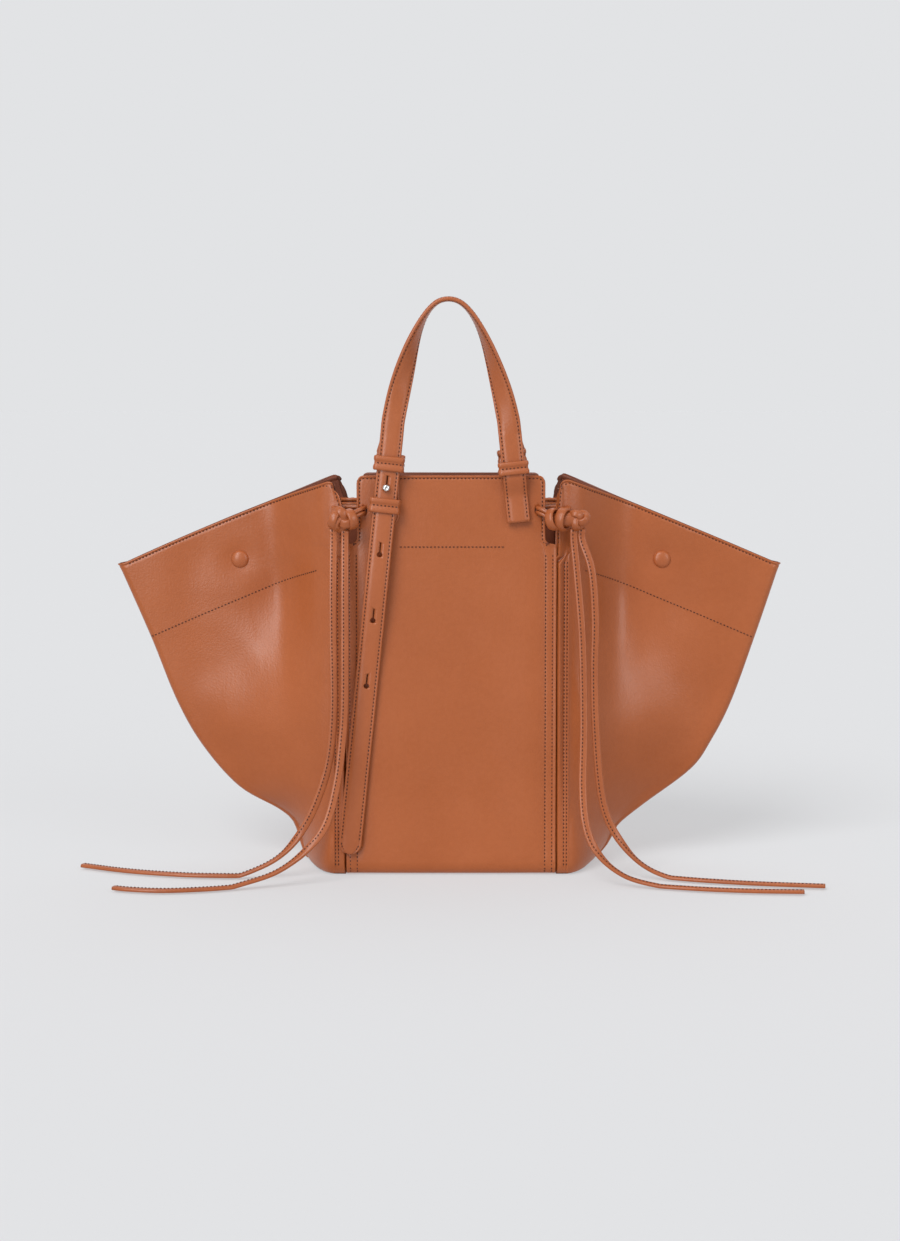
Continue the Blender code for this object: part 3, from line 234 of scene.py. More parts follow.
def punch(piece, places):
    """Cut round holes through a piece, front to back."""
    cutters = []
    for place in places:
        bm = bmesh.new()
        turned = Matrix.Translation(place) @ Matrix.Rotation(math.pi / 2, 4, "X")
        bmesh.ops.create_cone(bm, cap_ends=True, segments=20, radius1=PUNCH_RADIUS, radius2=PUNCH_RADIUS,
                              depth=PUNCH_DEPTH, matrix=turned)
        cutters.append(bm)
    cut_out(piece, cutters)


# %% [markdown]
# A tie is one long leather cord: a strip folded over and stitched flat, 6.5 mm wide. It hangs from its
# knot, then lies on the ground. Its shape is a row of stations along a smooth route, each with a small flat
# section around it. The section faces forwards where the cord hangs and upwards where it lies.


# %% Routes
def smooth_route(points, count):
    """Evenly spaced points on a smooth curve through the given points."""
    knots = [Vector(point) for point in points]
    knots = [2 * knots[0] - knots[1]] + knots + [2 * knots[-1] - knots[-2]]
    dense = []
    for before, start, end, after in zip(knots, knots[1:], knots[2:], knots[3:]):
        for step in range(24):
            t = step / 24
            slope = end - before
            bend = 2 * before - 5 * start + 4 * end - after
            turn = 3 * start - before - 3 * end + after
            dense.append(0.5 * (2 * start + slope * t + bend * t * t + turn * t ** 3))
    dense.append(knots[-2])
    lengths = [0.0]
    for first, second in zip(dense, dense[1:]):
        lengths.append(lengths[-1] + (second - first).length)
    result = []
    index = 0
    for step in range(count):
        wanted = lengths[-1] * step / (count - 1)
        while index < len(dense) - 2 and lengths[index + 1] < wanted:
            index += 1
        span = lengths[index + 1] - lengths[index]
        result.append(dense[index].lerp(dense[index + 1], (wanted - lengths[index]) / span))
    return result


def route_length(points):
    """Length of the line through the points."""
    return sum((second - first).length for first, second in zip(points, points[1:]))


def stations_along(points, faces, closed=False):
    """Frames along a route: place, direction across the strap and direction out of its face."""
    frames = []
    last = len(points) - 1
    for index, (point, face) in enumerate(zip(points, faces)):
        if closed:
            along = (points[(index + 1) % len(points)] - points[index - 1]).normalized()
        else:
            along = (points[min(index + 1, last)] - points[max(index - 1, 0)]).normalized()
        across = along.cross(face).normalized()
        frames.append((point, across, across.cross(along).normalized()))
    return frames


# %% Straps and cords along a route
def wrap_section(frames, section, widths=None, depths=None, closed=False):
    """A closed strap whose section, (across, out) points, follows the frames; widths and depths scale it."""
    widths = widths or [1.0] * len(frames)
    depths = depths or [1.0] * len(frames)
    order = list(range(len(frames))) + ([0] if closed else [])

    def place(spot, station):
        point, across, out = frames[station]
        side, height = section[spot % len(section)]
        return point + across * side * widths[station] + out * height * depths[station]

    bm = lay(list(range(len(section) + 1)), order, place)
    bmesh.ops.remove_doubles(bm, verts=bm.verts, dist=1e-7)
    if not closed:
        rim = [edge for edge in bm.edges if edge.is_boundary]
        bmesh.ops.holes_fill(bm, edges=rim)
    bmesh.ops.recalc_face_normals(bm, faces=bm.faces)
    return bm


def flat_section(width, thickness, steps=20, flatness=3.2):
    """Section of a folded strip: a flattened round."""
    points = []
    power = 2 / flatness
    for step in range(steps):
        angle = 2 * math.pi * step / steps
        aside, out = math.cos(angle), math.sin(angle)
        points.append((width / 2 * math.copysign(abs(aside) ** power, aside),
                       thickness / 2 * math.copysign(abs(out) ** power, out)))
    return points


# %% [markdown]
# The eight free ends of the four ties. The photograph shows the two front pairs from the knot to the cut
# end, so these are their real lengths, 435 to 462 mm; the back pairs are the same tie and lie behind the
# bag.

# %% The eight hanging cords
CORD_WIDTH = 0.0065
CORD_THICKNESS = 0.0032
CORD_FLOOR = 0.0028
CORD_DROP = 0.010
CORD_STATIONS = 150
LIFT_START = 0.060
LIFT_END = 0.006
CORD_ROUTES = {
    "front_left_tail_outer": [
        (-0.0962, -0.0625), (-0.0966, -0.0680, 0.2400), (-0.0966, -0.0700, 0.1986),
        (-0.0962, -0.0730, 0.1444), (-0.0995, -0.0740, 0.1028), (-0.1079, -0.0750, 0.0720),
        (-0.1205, -0.0755, 0.0444), (-0.1385, -0.0760, 0.0215), (-0.1600, -0.0770, 0.0085),
        (-0.1880, -0.0775, 0.0), (-0.2239, -0.0740, 0.0), (-0.2688, -0.0615, 0.0),
        (-0.3105, -0.0419, 0.0)],
    "front_left_tail_inner": [
        (-0.0868, -0.0625), (-0.0868, -0.0700, 0.2400), (-0.0868, -0.0740, 0.1992),
        (-0.0872, -0.0780, 0.1452), (-0.0890, -0.0800, 0.1177), (-0.0930, -0.0850, 0.0844),
        (-0.1020, -0.0935, 0.0500), (-0.1179, -0.1010, 0.0300), (-0.1410, -0.1060, 0.0135),
        (-0.1680, -0.1120, 0.0050), (-0.1970, -0.1210, 0.0), (-0.2313, -0.1260, 0.0),
        (-0.2600, -0.1215, 0.0), (-0.2728, -0.1165, 0.0)],
    "front_right_tail_inner": [
        (0.1005, -0.0625), (0.1034, -0.0660, 0.2500), (0.1074, -0.0710, 0.1987),
        (0.1087, -0.0780, 0.1311), (0.1078, -0.0860, 0.0777), (0.1105, -0.0940, 0.0478),
        (0.1190, -0.1000, 0.0285), (0.1345, -0.1040, 0.0135), (0.1560, -0.1080, 0.0050),
        (0.2009, -0.1200, 0.0), (0.2420, -0.1265, 0.0), (0.2836, -0.1290, 0.0)],
    "front_right_tail_outer": [
        (0.1073, -0.0625), (0.1150, -0.0680, 0.2552), (0.1180, -0.0700, 0.2151),
        (0.1175, -0.0715, 0.1750), (0.1186, -0.0730, 0.1302), (0.1223, -0.0740, 0.0819),
        (0.1279, -0.0750, 0.0544), (0.1390, -0.0765, 0.0330), (0.1560, -0.0785, 0.0140),
        (0.1778, -0.0830, 0.0036), (0.2080, -0.0930, 0.0), (0.2500, -0.1030, 0.0),
        (0.3037, -0.1110, 0.0)],
    "back_left_tail_outer": [
        (-0.0970, 0.0625), (-0.0990, 0.0680, 0.2500), (-0.0985, 0.0720, 0.1900),
        (-0.0975, 0.0750, 0.1200), (-0.0965, 0.0780, 0.0620), (-0.0950, 0.0830, 0.0270),
        (-0.0900, 0.0920, 0.0090), (-0.0800, 0.1010, 0.0), (-0.0560, 0.1060, 0.0),
        (-0.0250, 0.1070, 0.0), (0.0100, 0.1060, 0.0), (0.0420, 0.1050, 0.0)],
    "back_left_tail_inner": [
        (-0.0880, 0.0625), (-0.0880, 0.0690, 0.2500), (-0.0880, 0.0720, 0.1900),
        (-0.0880, 0.0740, 0.1200), (-0.0875, 0.0760, 0.0560), (-0.0850, 0.0800, 0.0240),
        (-0.0785, 0.0860, 0.0080), (-0.0680, 0.0910, 0.0), (-0.0480, 0.0940, 0.0),
        (-0.0200, 0.0950, 0.0), (0.0100, 0.0940, 0.0), (0.0330, 0.0930, 0.0)],
    "back_right_tail_inner": [
        (0.0880, 0.0625), (0.0880, 0.0690, 0.2500), (0.0890, 0.0730, 0.1900), (0.0900, 0.0770, 0.1200),
        (0.0910, 0.0830, 0.0620), (0.0910, 0.0920, 0.0270), (0.0870, 0.1040, 0.0090),
        (0.0780, 0.1130, 0.0), (0.0580, 0.1180, 0.0), (0.0280, 0.1190, 0.0), (-0.0050, 0.1180, 0.0),
        (-0.0350, 0.1165, 0.0)],
    "back_right_tail_outer": [
        (0.0970, 0.0625), (0.0990, 0.0680, 0.2500), (0.1000, 0.0730, 0.1900), (0.1010, 0.0790, 0.1200),
        (0.1015, 0.0870, 0.0620), (0.1010, 0.0980, 0.0270), (0.0970, 0.1120, 0.0090),
        (0.0880, 0.1230, 0.0), (0.0680, 0.1290, 0.0), (0.0360, 0.1310, 0.0), (0.0020, 0.1300, 0.0),
        (-0.0300, 0.1280, 0.0)],
}
CORD_PATHS = {}


def cord_path(node):
    """The route's points: out of the knot, straight down at first, then along the route and the ground."""
    first, *rest = CORD_ROUTES[node]
    start = Vector((*first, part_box(node)[1].z))
    points = smooth_route([start, start - Vector((0.0, 0.0, CORD_DROP)), *rest], CORD_STATIONS)
    for point in points:
        point.z = max(point.z, CORD_FLOOR)
    return points


def cord_faces(points, side):
    """Which way the flat of the cord faces: out of the bag where it hangs, up where it lies."""
    faces = []
    for point in points:
        lying = smoothstep((LIFT_START - point.z) / (LIFT_START - LIFT_END))
        faces.append(Vector((0.0, side * (1 - lying), lying)))
    return faces


for node in CORD_ROUTES:
    side = -1 if node.startswith("front") else 1
    points = cord_path(node)
    frames = stations_along(points, cord_faces(points, side))
    CORD_PATHS[node] = frames
    bm = wrap_section(frames, flat_section(CORD_WIDTH, CORD_THICKNESS))
    tail = link_piece(bm, node.replace("tail", "cord"), [CORD_LEATHER])
    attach(tail, "bag")
    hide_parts(node)
    length = round(route_length(points), 3)
    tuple(points[0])
    print(tail.name, "is", length, "m long")

# %% [markdown]
# The body of the bag has two centre panels. Each is a lofted sheet: straight at the foot, where it turns
# under the base, with a shoulder at each notch and rounded top corners. The grid's lines lie close together
# near the edges, where the leather is turned over and stitched down, so that the bead and the stitch
# channel are real shape.

# %% Sizes of the body
PANEL_HOLE_X = 0.0715
WING_HOLE_X = 0.0960
HOLE_Z = 0.3035
BODY_HEIGHT = 0.332
PANEL_LOW = 0.087
PANEL_TOP = 0.0775
NOTCH_Z = 0.276
NOTCH_RADIUS = 0.005
CORNER_RADIUS = 0.006
BASE_HALF = 0.065
MOUTH_HALF = 0.051
FOOT_RADIUS = 0.008
FOOT_FLANGE = 0.007
PANEL_SKIN = 0.0024
PANEL_SLOPE = math.atan((BASE_HALF - MOUTH_HALF) / (BODY_HEIGHT - FOOT_RADIUS))
BACK_TOP_DROP = 0.0035
PANEL_BOWL = 0.0016
SEAM_DIP = 0.0011


def face_distance(z):
    """Distance of a panel's outer face from the middle plane, at a height above the rounded foot."""
    return lerp(BASE_HALF, MOUTH_HALF, (z - FOOT_RADIUS) / (BODY_HEIGHT - FOOT_RADIUS))


# %% Relief of a stitched edge
BEAD_WIDTH = 0.0017
BEAD_HEIGHT = 0.00050
EDGE_STITCH = 0.0025
SEAM_STITCHES = (0.0033, 0.0090)
CHANNEL_DEPTH = 0.00045
CHANNEL_WIDTH = 0.0006
EDGE_STEPS = [0.0, 0.0003, 0.0008, 0.0013, 0.0017, 0.0020, 0.0025, 0.0029, 0.0033, 0.0038, 0.0045]
SEAM_STEPS = [0.0060, 0.0078, 0.0085, 0.0090, 0.0095, 0.0102]


def edge_relief(distance):
    """Height of a turned edge above its sheet: a bead along the edge and the channel of its stitches."""
    bead = math.sin(math.pi * distance / BEAD_WIDTH) if 0 < distance < BEAD_WIDTH else 0.0
    return BEAD_HEIGHT * bead - CHANNEL_DEPTH * hill(distance, EDGE_STITCH, CHANNEL_WIDTH)


def channel(distance, at):
    """Height of a row's stitch channel at a distance."""
    return -CHANNEL_DEPTH * hill(distance, at, CHANNEL_WIDTH)


# %% The outline of a panel
def arc(centre, radius, start, end, steps):
    """Points of an arc, angles in degrees."""
    points = []
    for step in range(steps + 1):
        angle = math.radians(lerp(start, end, step / steps))
        points.append((centre[0] + radius * math.cos(angle), centre[1] + radius * math.sin(angle)))
    return points


def panel_side(top):
    """Right edge of a panel from its foot to the middle of its top corner, as (x, height) points."""
    low = FOOT_RADIUS - FOOT_RADIUS * math.pi / 2 - FOOT_FLANGE
    heights = [low + (NOTCH_Z - 0.006 - low) * step / 44 for step in range(45)]
    shoulder = 0.0035
    points = [(PANEL_LOW, height) for height in heights]
    points += arc((PANEL_LOW - shoulder, NOTCH_Z - shoulder), shoulder, 0, 90, 5)[:-1]
    notch_top, corner = NOTCH_Z + NOTCH_RADIUS, top - CORNER_RADIUS
    points += arc((PANEL_TOP + NOTCH_RADIUS, notch_top), NOTCH_RADIUS, 270, 180, 6)
    points += [(PANEL_TOP, lerp(notch_top, corner, step / 9)) for step in range(1, 9)]
    points += arc((PANEL_TOP - CORNER_RADIUS, corner), CORNER_RADIUS, 0, 45, 4)
    return points


def panel_edge_distance(x, height, top):
    """Rough distance of a point from a panel's edge, above the foot."""
    x = abs(x)
    half = PANEL_LOW if height < NOTCH_Z else PANEL_TOP
    if NOTCH_Z <= height < NOTCH_Z + NOTCH_RADIUS:
        rise = NOTCH_Z + NOTCH_RADIUS - height
        half = PANEL_TOP + NOTCH_RADIUS - math.sqrt(max(NOTCH_RADIUS ** 2 - rise ** 2, 0.0))
    corner = (x - (PANEL_TOP - CORNER_RADIUS), height - (top - CORNER_RADIUS))
    if corner[0] > 0 and corner[1] > 0:
        return CORNER_RADIUS - math.hypot(*corner)
    below_notch = 1.0
    if height < NOTCH_Z:
        inside = PANEL_TOP - x
        below_notch = math.hypot(inside + 1e-6, NOTCH_Z - height) if inside > 0 else NOTCH_Z - height
    return max(min(half - x, top - height, below_notch), 0.0)


# %% The face of a panel
def soft_dents(place, size, depth):
    """Slow waves that a sheet of leather keeps from use."""
    return depth * noise.noise(place / size)


def panel_point(side, x, height, relief=0.0):
    """Point of a panel's outer face; below the rounded foot, height counts along the turned edge."""
    if height >= FOOT_RADIUS:
        distance, z = face_distance(height), height
    else:
        along = FOOT_RADIUS - height
        angle = min(along / FOOT_RADIUS, math.pi / 2)
        distance = BASE_HALF - FOOT_RADIUS + FOOT_RADIUS * math.cos(angle)
        distance -= max(along - FOOT_RADIUS * math.pi / 2, 0.0)
        z = FOOT_RADIUS - FOOT_RADIUS * math.sin(angle)
    upright = smoothstep(height / 0.030)
    dip = -SEAM_DIP * smoothstep((abs(x) - 0.062) / 0.025) * upright
    bowl = PANEL_BOWL * (1 - min(abs(x) / 0.066, 1.0) ** 2)
    dip -= bowl * smoothstep((z - 0.02) / 0.05) * smoothstep((0.30 - z) / 0.08)
    dip += (soft_dents(Vector((x, side, z)), 0.07, 0.0009) - 0.0006) * upright
    distance += (relief + dip) * (1.0 if height > 0 else 0.0)
    return Vector((x, side * distance, z))


def panel_heights_top(side):
    """Height of a panel's top edge; the back one stands a little lower."""
    return BODY_HEIGHT - (BACK_TOP_DROP if side > 0 else 0.0)


def panel_grid(side):
    """Place function and lists of a panel's grid."""
    top = panel_heights_top(side)
    edge = panel_side(top)
    columns = [0.0, 0.1, 0.2, 0.3, 0.4, 0.5, 0.6, 0.68, 0.75, 0.81]
    inner = [1 - step / PANEL_LOW for step in reversed(SEAM_STEPS)]
    outer = [1 - step / PANEL_LOW for step in reversed(EDGE_STEPS)]
    half = [share for share in columns if share < inner[0] - 0.01] + inner + outer
    across = [-share for share in reversed(half[1:])] + half
    rows = len(edge) - 1
    # Heights in the middle of the sheet: even, and close together under the top edge.
    low = edge[0][1]
    crowd = [top - step for step in reversed(EDGE_STEPS)]
    free = rows + 1 - len(crowd)
    middles = [lerp(low, crowd[0], step / free) for step in range(free)] + crowd

    def place(share, row):
        reach, edge_height = edge[row]
        x = share * reach
        pull = abs(share) ** 5
        height = lerp(middles[row], edge_height, pull)
        corner_height = top
        over = abs(x) - (PANEL_TOP - CORNER_RADIUS)
        if over > 0:
            corner_height = top - CORNER_RADIUS + math.sqrt(max(CORNER_RADIUS ** 2 - over ** 2, 0.0))
        near_top = smoothstep((row - rows + 5) / 5)
        last = lerp(middles[rows], edge[rows][1], pull)
        height += (corner_height - last) * near_top
        relief = 0.0
        if height > FOOT_RADIUS:
            relief = edge_relief(panel_edge_distance(x, height, top))
            if height < NOTCH_Z - 0.004:
                relief = edge_relief(reach - abs(x)) * 0.6 + channel(reach - abs(x), SEAM_STITCHES[1])
        return panel_point(side, x, height, relief)

    return across, list(range(rows + 1)), place


# %% Lay the panels
def tie_holes(side):
    """Places of a panel's two holes for the ties."""
    return [(hand * PANEL_HOLE_X, side * face_distance(HOLE_Z), HOLE_Z) for hand in (-1, 1)]


for side, label in ((-1, "front"), (1, "back")):
    bm = lay(*panel_grid(side))
    face_out(bm)
    panel = link_piece(bm, f"{label}_leather_panel", [LEATHER, EDGE_PAINT, FLESH_SIDE_PAINTED_SHADE])
    thicken(panel, PANEL_SKIN)
    punch(panel, tie_holes(side))
    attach(panel, "bag")
    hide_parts(f"{label}_panel")
    print(panel.name, len(panel.data.vertices), "points")

# %% [markdown]
# Each gusset is one sheet that runs from one panel's seam, out to the fold at the wing's tip and back to
# the other panel. Its rows are sections at one height of the seam. Low down a section is full and round, as
# the bag's foot is; high up its two halves come together into a flat wing that a snap holds shut. The fold
# line of either wing is its own, because the leather has settled a little differently on the two sides.

# %% Sizes of the wings
GUSSET_SKIN = 0.0022
GUSSET_FOOT = 0.0012
SEAM_BACK = 0.075
SEAM_STEP = 0.0880
STRIP_START = 0.0897
STRIP_END = 0.0972
LAP_DEPTH = 0.0052
WING_CORNER_Z = 0.3285
FOLD_RADIUS = 0.0055
# The outer fold of each wing as (x, height), from the ground to the tip.
FOLD_LINES = {
    -1: [(0.1240, 0.0), (0.1285, 0.0120), (0.1318, 0.0245), (0.1368, 0.0345), (0.1490, 0.0440),
         (0.1815, 0.0630), (0.2115, 0.0980), (0.2330, 0.1370), (0.2540, 0.1915), (0.2810, 0.2556)],
    1: [(0.1240, 0.0), (0.1330, 0.0105), (0.1385, 0.0200), (0.1440, 0.0300), (0.1640, 0.0465),
        (0.2045, 0.0775), (0.2215, 0.1020), (0.2385, 0.1370), (0.2580, 0.1940), (0.2780, 0.2565)],
}
FOLD_ROUTES = {hand: smooth_route([(x, 0.0, z) for x, z in line], 161) for hand, line in FOLD_LINES.items()}
# Where each wing's own edge stands, by hand and side: low in the notch, and at the top.
WING_EDGES = {(-1, -1): (0.0885, 0.0965), (1, -1): (0.0860, 0.0890),
              (-1, 1): (0.0890, 0.0965), (1, 1): (0.0880, 0.0935)}
EDGE_ARCH = {-1: 0.0022, 1: 0.0008}
FLARE_LOW = {-1: 0.268, 1: 0.300}
WING_CORNER_RADIUS = 0.0065
VALLEY_DEPTH = 0.0030
LOW_FULLNESS = 2.0
LOW_FULLNESS_END = 0.2
TOP_HOLLOW = 1.5
PINCH_START = 0.40
PINCH_RISE = 0.39
PINCH_WIDTH = 0.36


def fold_nose(share):
    """Reach of the fold's round nose beyond the flat of the wing, which is short at the full foot."""
    return FOLD_RADIUS * lerp(0.25, 1.0, smoothstep(share / 0.25))


def fold_point(hand, share):
    """Point (x, z) of a wing's outer fold, from the ground (0) to the tip (1)."""
    route = FOLD_ROUTES[hand]
    place = min(max(share, 0.0), 1.0) * (len(route) - 1)
    index = min(int(place), len(route) - 2)
    point = route[index].lerp(route[index + 1], place - index)
    return point.x, max(point.z, GUSSET_FOOT)


# %% [markdown]
# The wings are what makes this bag look used. Where the snap pinches them the leather is drawn in, and a
# few soft creases run down from it. Slow noise adds the dents of handling, and all of it fades out at the
# sewn seams.

# %% The surface of a gusset
SNAP_PLACES = {-1: (-0.1790, 0.2597), 1: (0.1775, 0.2597)}
SNAP_HOLLOW_RADIUS = 0.013
SNAP_HOLLOW_DEPTH = 0.0007
RIDGE_HEIGHT = 0.0022
# Each crease: its distance from the snap, its width and its depth.
CREASES = ((-0.010, 0.0060, 0.0006), (0.004, 0.0050, 0.0008), (0.016, 0.0070, 0.0005))


def wing_waves(hand, side, share, column, x, z):
    """Folds and dents of a wing's face, outwards."""
    free = smoothstep(column / 0.12) * smoothstep((1 - column) / 0.10)
    wave = soft_dents(Vector((x * 1.3, hand + side * 0.3, z)), 0.06, 0.0020)
    wave += soft_dents(Vector((x, hand + side, z)), 0.025, 0.0006)
    snap_x, snap_z = SNAP_PLACES[hand]
    away_x, away_z = abs(x) - abs(snap_x), z - snap_z
    near = math.exp(-(away_x ** 2 + away_z ** 2) / SNAP_HOLLOW_RADIUS ** 2)
    free *= 1 - near
    below = smoothstep(-away_z / 0.02) * smoothstep((away_z + 0.11) / 0.05)
    creases = 0.0
    for shift, width, depth in CREASES:
        creases += depth * hill(away_x - 0.10 * away_z, shift, width)
    ridge = RIDGE_HEIGHT * hill(away_x, -0.006, 0.030) * smoothstep((0.115 + away_z) / 0.06)
    lift = wave - creases * below * 0.8 + ridge * smoothstep(share * 2)
    return free * lift - SNAP_HOLLOW_DEPTH * near


def wing_point(hand, side, share, x, relief=0.0):
    """Point of a gusset's outer face at a share of the seam and a distance from the bag's middle."""
    seam_z = lerp(GUSSET_FOOT, WING_CORNER_Z, share)
    fold_x, fold_z = fold_point(hand, share)
    outer = face_distance(max(seam_z, FOOT_RADIUS))
    if seam_z < FOOT_RADIUS:
        outer -= FOOT_RADIUS - math.sqrt(FOOT_RADIUS ** 2 - (FOOT_RADIUS - seam_z) ** 2)
    last_x = fold_x - fold_nose(share)
    column = min(max((x - STRIP_END) / (last_x - STRIP_END), 0.0), 1.0)
    fullness = lerp(LOW_FULLNESS, 1.0, smoothstep(share / LOW_FULLNESS_END))
    hollow = lerp(1.0, TOP_HOLLOW, smoothstep(share))
    width = (1 - column ** fullness) ** hollow
    fold_face = FOLD_RADIUS + GUSSET_SKIN / 2
    pinch = smoothstep((share - PINCH_START) / PINCH_RISE) * smoothstep(column / PINCH_WIDTH)
    distance = lerp(lerp(fold_face, outer, width), fold_face, pinch)
    lap = smoothstep((x - SEAM_STEP + 0.0008) / (STRIP_START - SEAM_STEP))
    distance -= LAP_DEPTH * (1 - lap)
    valley = smoothstep((x - STRIP_START) / 0.004) * (1 - smoothstep((x - STRIP_END - 0.0005) / 0.013))
    distance -= VALLEY_DEPTH * valley * smoothstep((seam_z - 0.020) / 0.100)
    z = lerp(seam_z, fold_z, column)
    z += EDGE_ARCH[hand] * 4 * column * (1 - column) * smoothstep((share - 0.6) / 0.4)
    distance += relief + wing_waves(hand, side, share, column, x, z)
    return Vector((hand * x, side * distance, z))


# %% The grid of a gusset
FLAT_STEPS = [0.0, 0.0003, 0.0008, 0.0013, 0.0017, 0.0020, 0.0025, 0.0029, 0.0035, 0.0050, 0.0075, 0.0100,
              0.0120, 0.0128, 0.0134, 0.0141, 0.0148, 0.0155, 0.0165, 0.0178, 0.0183, 0.0189, 0.0195,
              0.0203, 0.0208, 0.0214, 0.0219, 0.0222]
WING_STEPS = [0.012, 0.03, 0.055, 0.085, 0.12, 0.16, 0.2, 0.24, 0.28, 0.32, 0.36, 0.4, 0.44, 0.48, 0.52,
              0.56, 0.6, 0.64, 0.68, 0.72, 0.76, 0.8, 0.84, 0.88, 0.92, 0.95, 0.975, 1.0]
FOLD_TURNS = 7
NOSE_START = len(FLAT_STEPS) + len(WING_STEPS)
LAST_COLUMN = NOSE_START + FOLD_TURNS - 1
NOSE_DROP = 0.0013
FREE_FLAT_END = 0.1200
EDGE_BAND = 0.006
STRIP_STITCHES = (0.0936, 0.0960)
GUSSET_SHARES = [0.0, 0.012, 0.03] + [0.05 + 0.02 * step for step in range(44)] + [
    0.925, 0.938, 0.951, 0.962, 0.971, 0.978, 0.984, 0.9885, 0.9910, 0.9925, 0.9940, 0.9950, 0.9960,
    0.9974, 0.9989, 1.0]


def inner_edge(hand, side, seam_z):
    """Where a row of the gusset starts: behind the panel below the notch, at the wing's own edge above it."""
    low, top = WING_EDGES[hand, side]
    flare = lerp(low, top, min(max((seam_z - 0.302) / 0.0265, 0.0), 1.0) ** 1.25)
    return lerp(SEAM_BACK, flare, smoothstep((seam_z - FLARE_LOW[side] + 0.010) / 0.010))


def corner_drop(hand, side, x):
    """How far the wing's top edge lies below its straight line, at its rounded inner corner."""
    over = inner_edge(hand, side, WING_CORNER_Z) + WING_CORNER_RADIUS - x
    if over <= 0:
        return 0.0
    return WING_CORNER_RADIUS - math.sqrt(max(WING_CORNER_RADIUS ** 2 - over ** 2, 0.0))


def gusset_place(hand, column, share):
    """Front half has columns up to 0, back half from 0; 0 is the fold."""
    side = -1 if column < 0 else 1
    spot = LAST_COLUMN - abs(column)
    seam_z = lerp(GUSSET_FOOT, WING_CORNER_Z, share)
    start = inner_edge(hand, side, seam_z)
    high = smoothstep((seam_z - FLARE_LOW[side]) / 0.020)
    flat_end = lerp(STRIP_END, FREE_FLAT_END, high)
    fold_x, fold_z = fold_point(hand, share)
    last_x = fold_x - fold_nose(share)
    below_top = (1 - share) * (WING_CORNER_Z - GUSSET_FOOT)
    relief = edge_relief(below_top) if below_top < EDGE_BAND else 0.0
    if spot < len(FLAT_STEPS):
        step = FLAT_STEPS[spot]
        full = (flat_end - start) / FLAT_STEPS[-1]
        x = start + step * lerp(1.0, full, smoothstep(step / FLAT_STEPS[-1]))
        edge = x - start
    elif spot < NOSE_START:
        x = lerp(flat_end, last_x, WING_STEPS[spot - len(FLAT_STEPS)])
        edge = 1.0
    else:
        angle = math.pi / 2 * (spot - NOSE_START + 1) / FOLD_TURNS
        radius = fold_nose(share) + GUSSET_SKIN / 2 + relief
        below = wing_point(hand, side, share, last_x, relief)
        drop = NOSE_DROP * math.sin(angle) * smoothstep((share - 0.97) / 0.03)
        return Vector((hand * (last_x + radius * math.sin(angle)), below.y * math.cos(angle), below.z - drop))
    if seam_z > FLARE_LOW[side] and edge < EDGE_BAND:
        relief += edge_relief(edge) * high
    if seam_z < FLARE_LOW[side]:
        relief += (channel(x, STRIP_STITCHES[0]) + channel(x, STRIP_STITCHES[1])
                   + BEAD_HEIGHT * hill(x, STRIP_END, CHANNEL_WIDTH))
    point = wing_point(hand, side, share, x, relief)
    point.z -= corner_drop(hand, side, x) * smoothstep((share - 0.955) / 0.045)
    return point


# %% Lay the gussets
def gusset_columns(reach=LAST_COLUMN):
    """Column numbers up to a reach from the fold, which is 0."""
    return list(range(-reach, reach + 1))


for hand, label in ((-1, "left"), (1, "right")):
    bm = lay(gusset_columns(), GUSSET_SHARES, lambda column, share: gusset_place(hand, column, share))
    face_out(bm)
    gusset = link_piece(bm, f"{label}_leather_gusset", [LEATHER, EDGE_PAINT, FLESH_SIDE_PAINTED_SHADE])
    thicken(gusset, GUSSET_SKIN)
    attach(gusset, "bag")
    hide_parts(f"{label}_gusset")
    print(gusset.name, len(gusset.data.vertices), "points")

# %% [markdown]
# The mouth is faced on the inside with a thinner band, on the panels and on the wings, so that the rough
# side of the leather shows only further down. The bands follow the outer sheets at their own depth.

# %% Facings inside the mouth
FACING_SKIN = 0.0010
FACING_MARGIN = 0.0018
PANEL_FACING_LOW = 0.2735
PANEL_FACING_DEPTH = 0.0028
WING_FACING_DEPTH = 0.0026
FACING_SHARE = 0.79
FACING_LAST_SHARE = 0.9945
FACING_REACH = len(WING_STEPS) + FOLD_TURNS + 19
FACING_CORNER = 0.006
FACING_CORNER_DROP = 0.003
FACING_EDGE = 0.0002


def sink(bm, depth):
    """Move a sheet inwards along its own normals."""
    bm.normal_update()
    moves = [(vert, vert.normal * depth) for vert in bm.verts]
    for vert, move in moves:
        vert.co -= move


def panel_facing_grid(side):
    """Place function and lists of a panel facing, whose upper corners are cut off a little."""
    top = panel_heights_top(side) - FACING_MARGIN
    half = PANEL_TOP - FACING_MARGIN

    def place(x, z):
        corner = smoothstep((abs(x) - half + FACING_CORNER) / FACING_CORNER) * FACING_CORNER_DROP
        return panel_point(side, x, z - corner * smoothstep((z - top + FACING_CORNER) / FACING_CORNER))

    across = [-half + 2 * half * step / 30 for step in range(31)]
    return across, [lerp(PANEL_FACING_LOW, top, step / 12) for step in range(13)], place


# %% Lay the facings
for side, label in ((-1, "front"), (1, "back")):
    bm = lay(*panel_facing_grid(side))
    face_out(bm)
    sink(bm, PANEL_FACING_DEPTH)
    facing = link_piece(bm, f"{label}_mouth_facing", [FACING_LEATHER_PAINTED_SHADE, EDGE_PAINT])
    thicken(facing, FACING_SKIN, FACING_EDGE)
    punch(facing, tie_holes(side))
    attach(facing, "bag")
    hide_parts(f"{label}_facing")

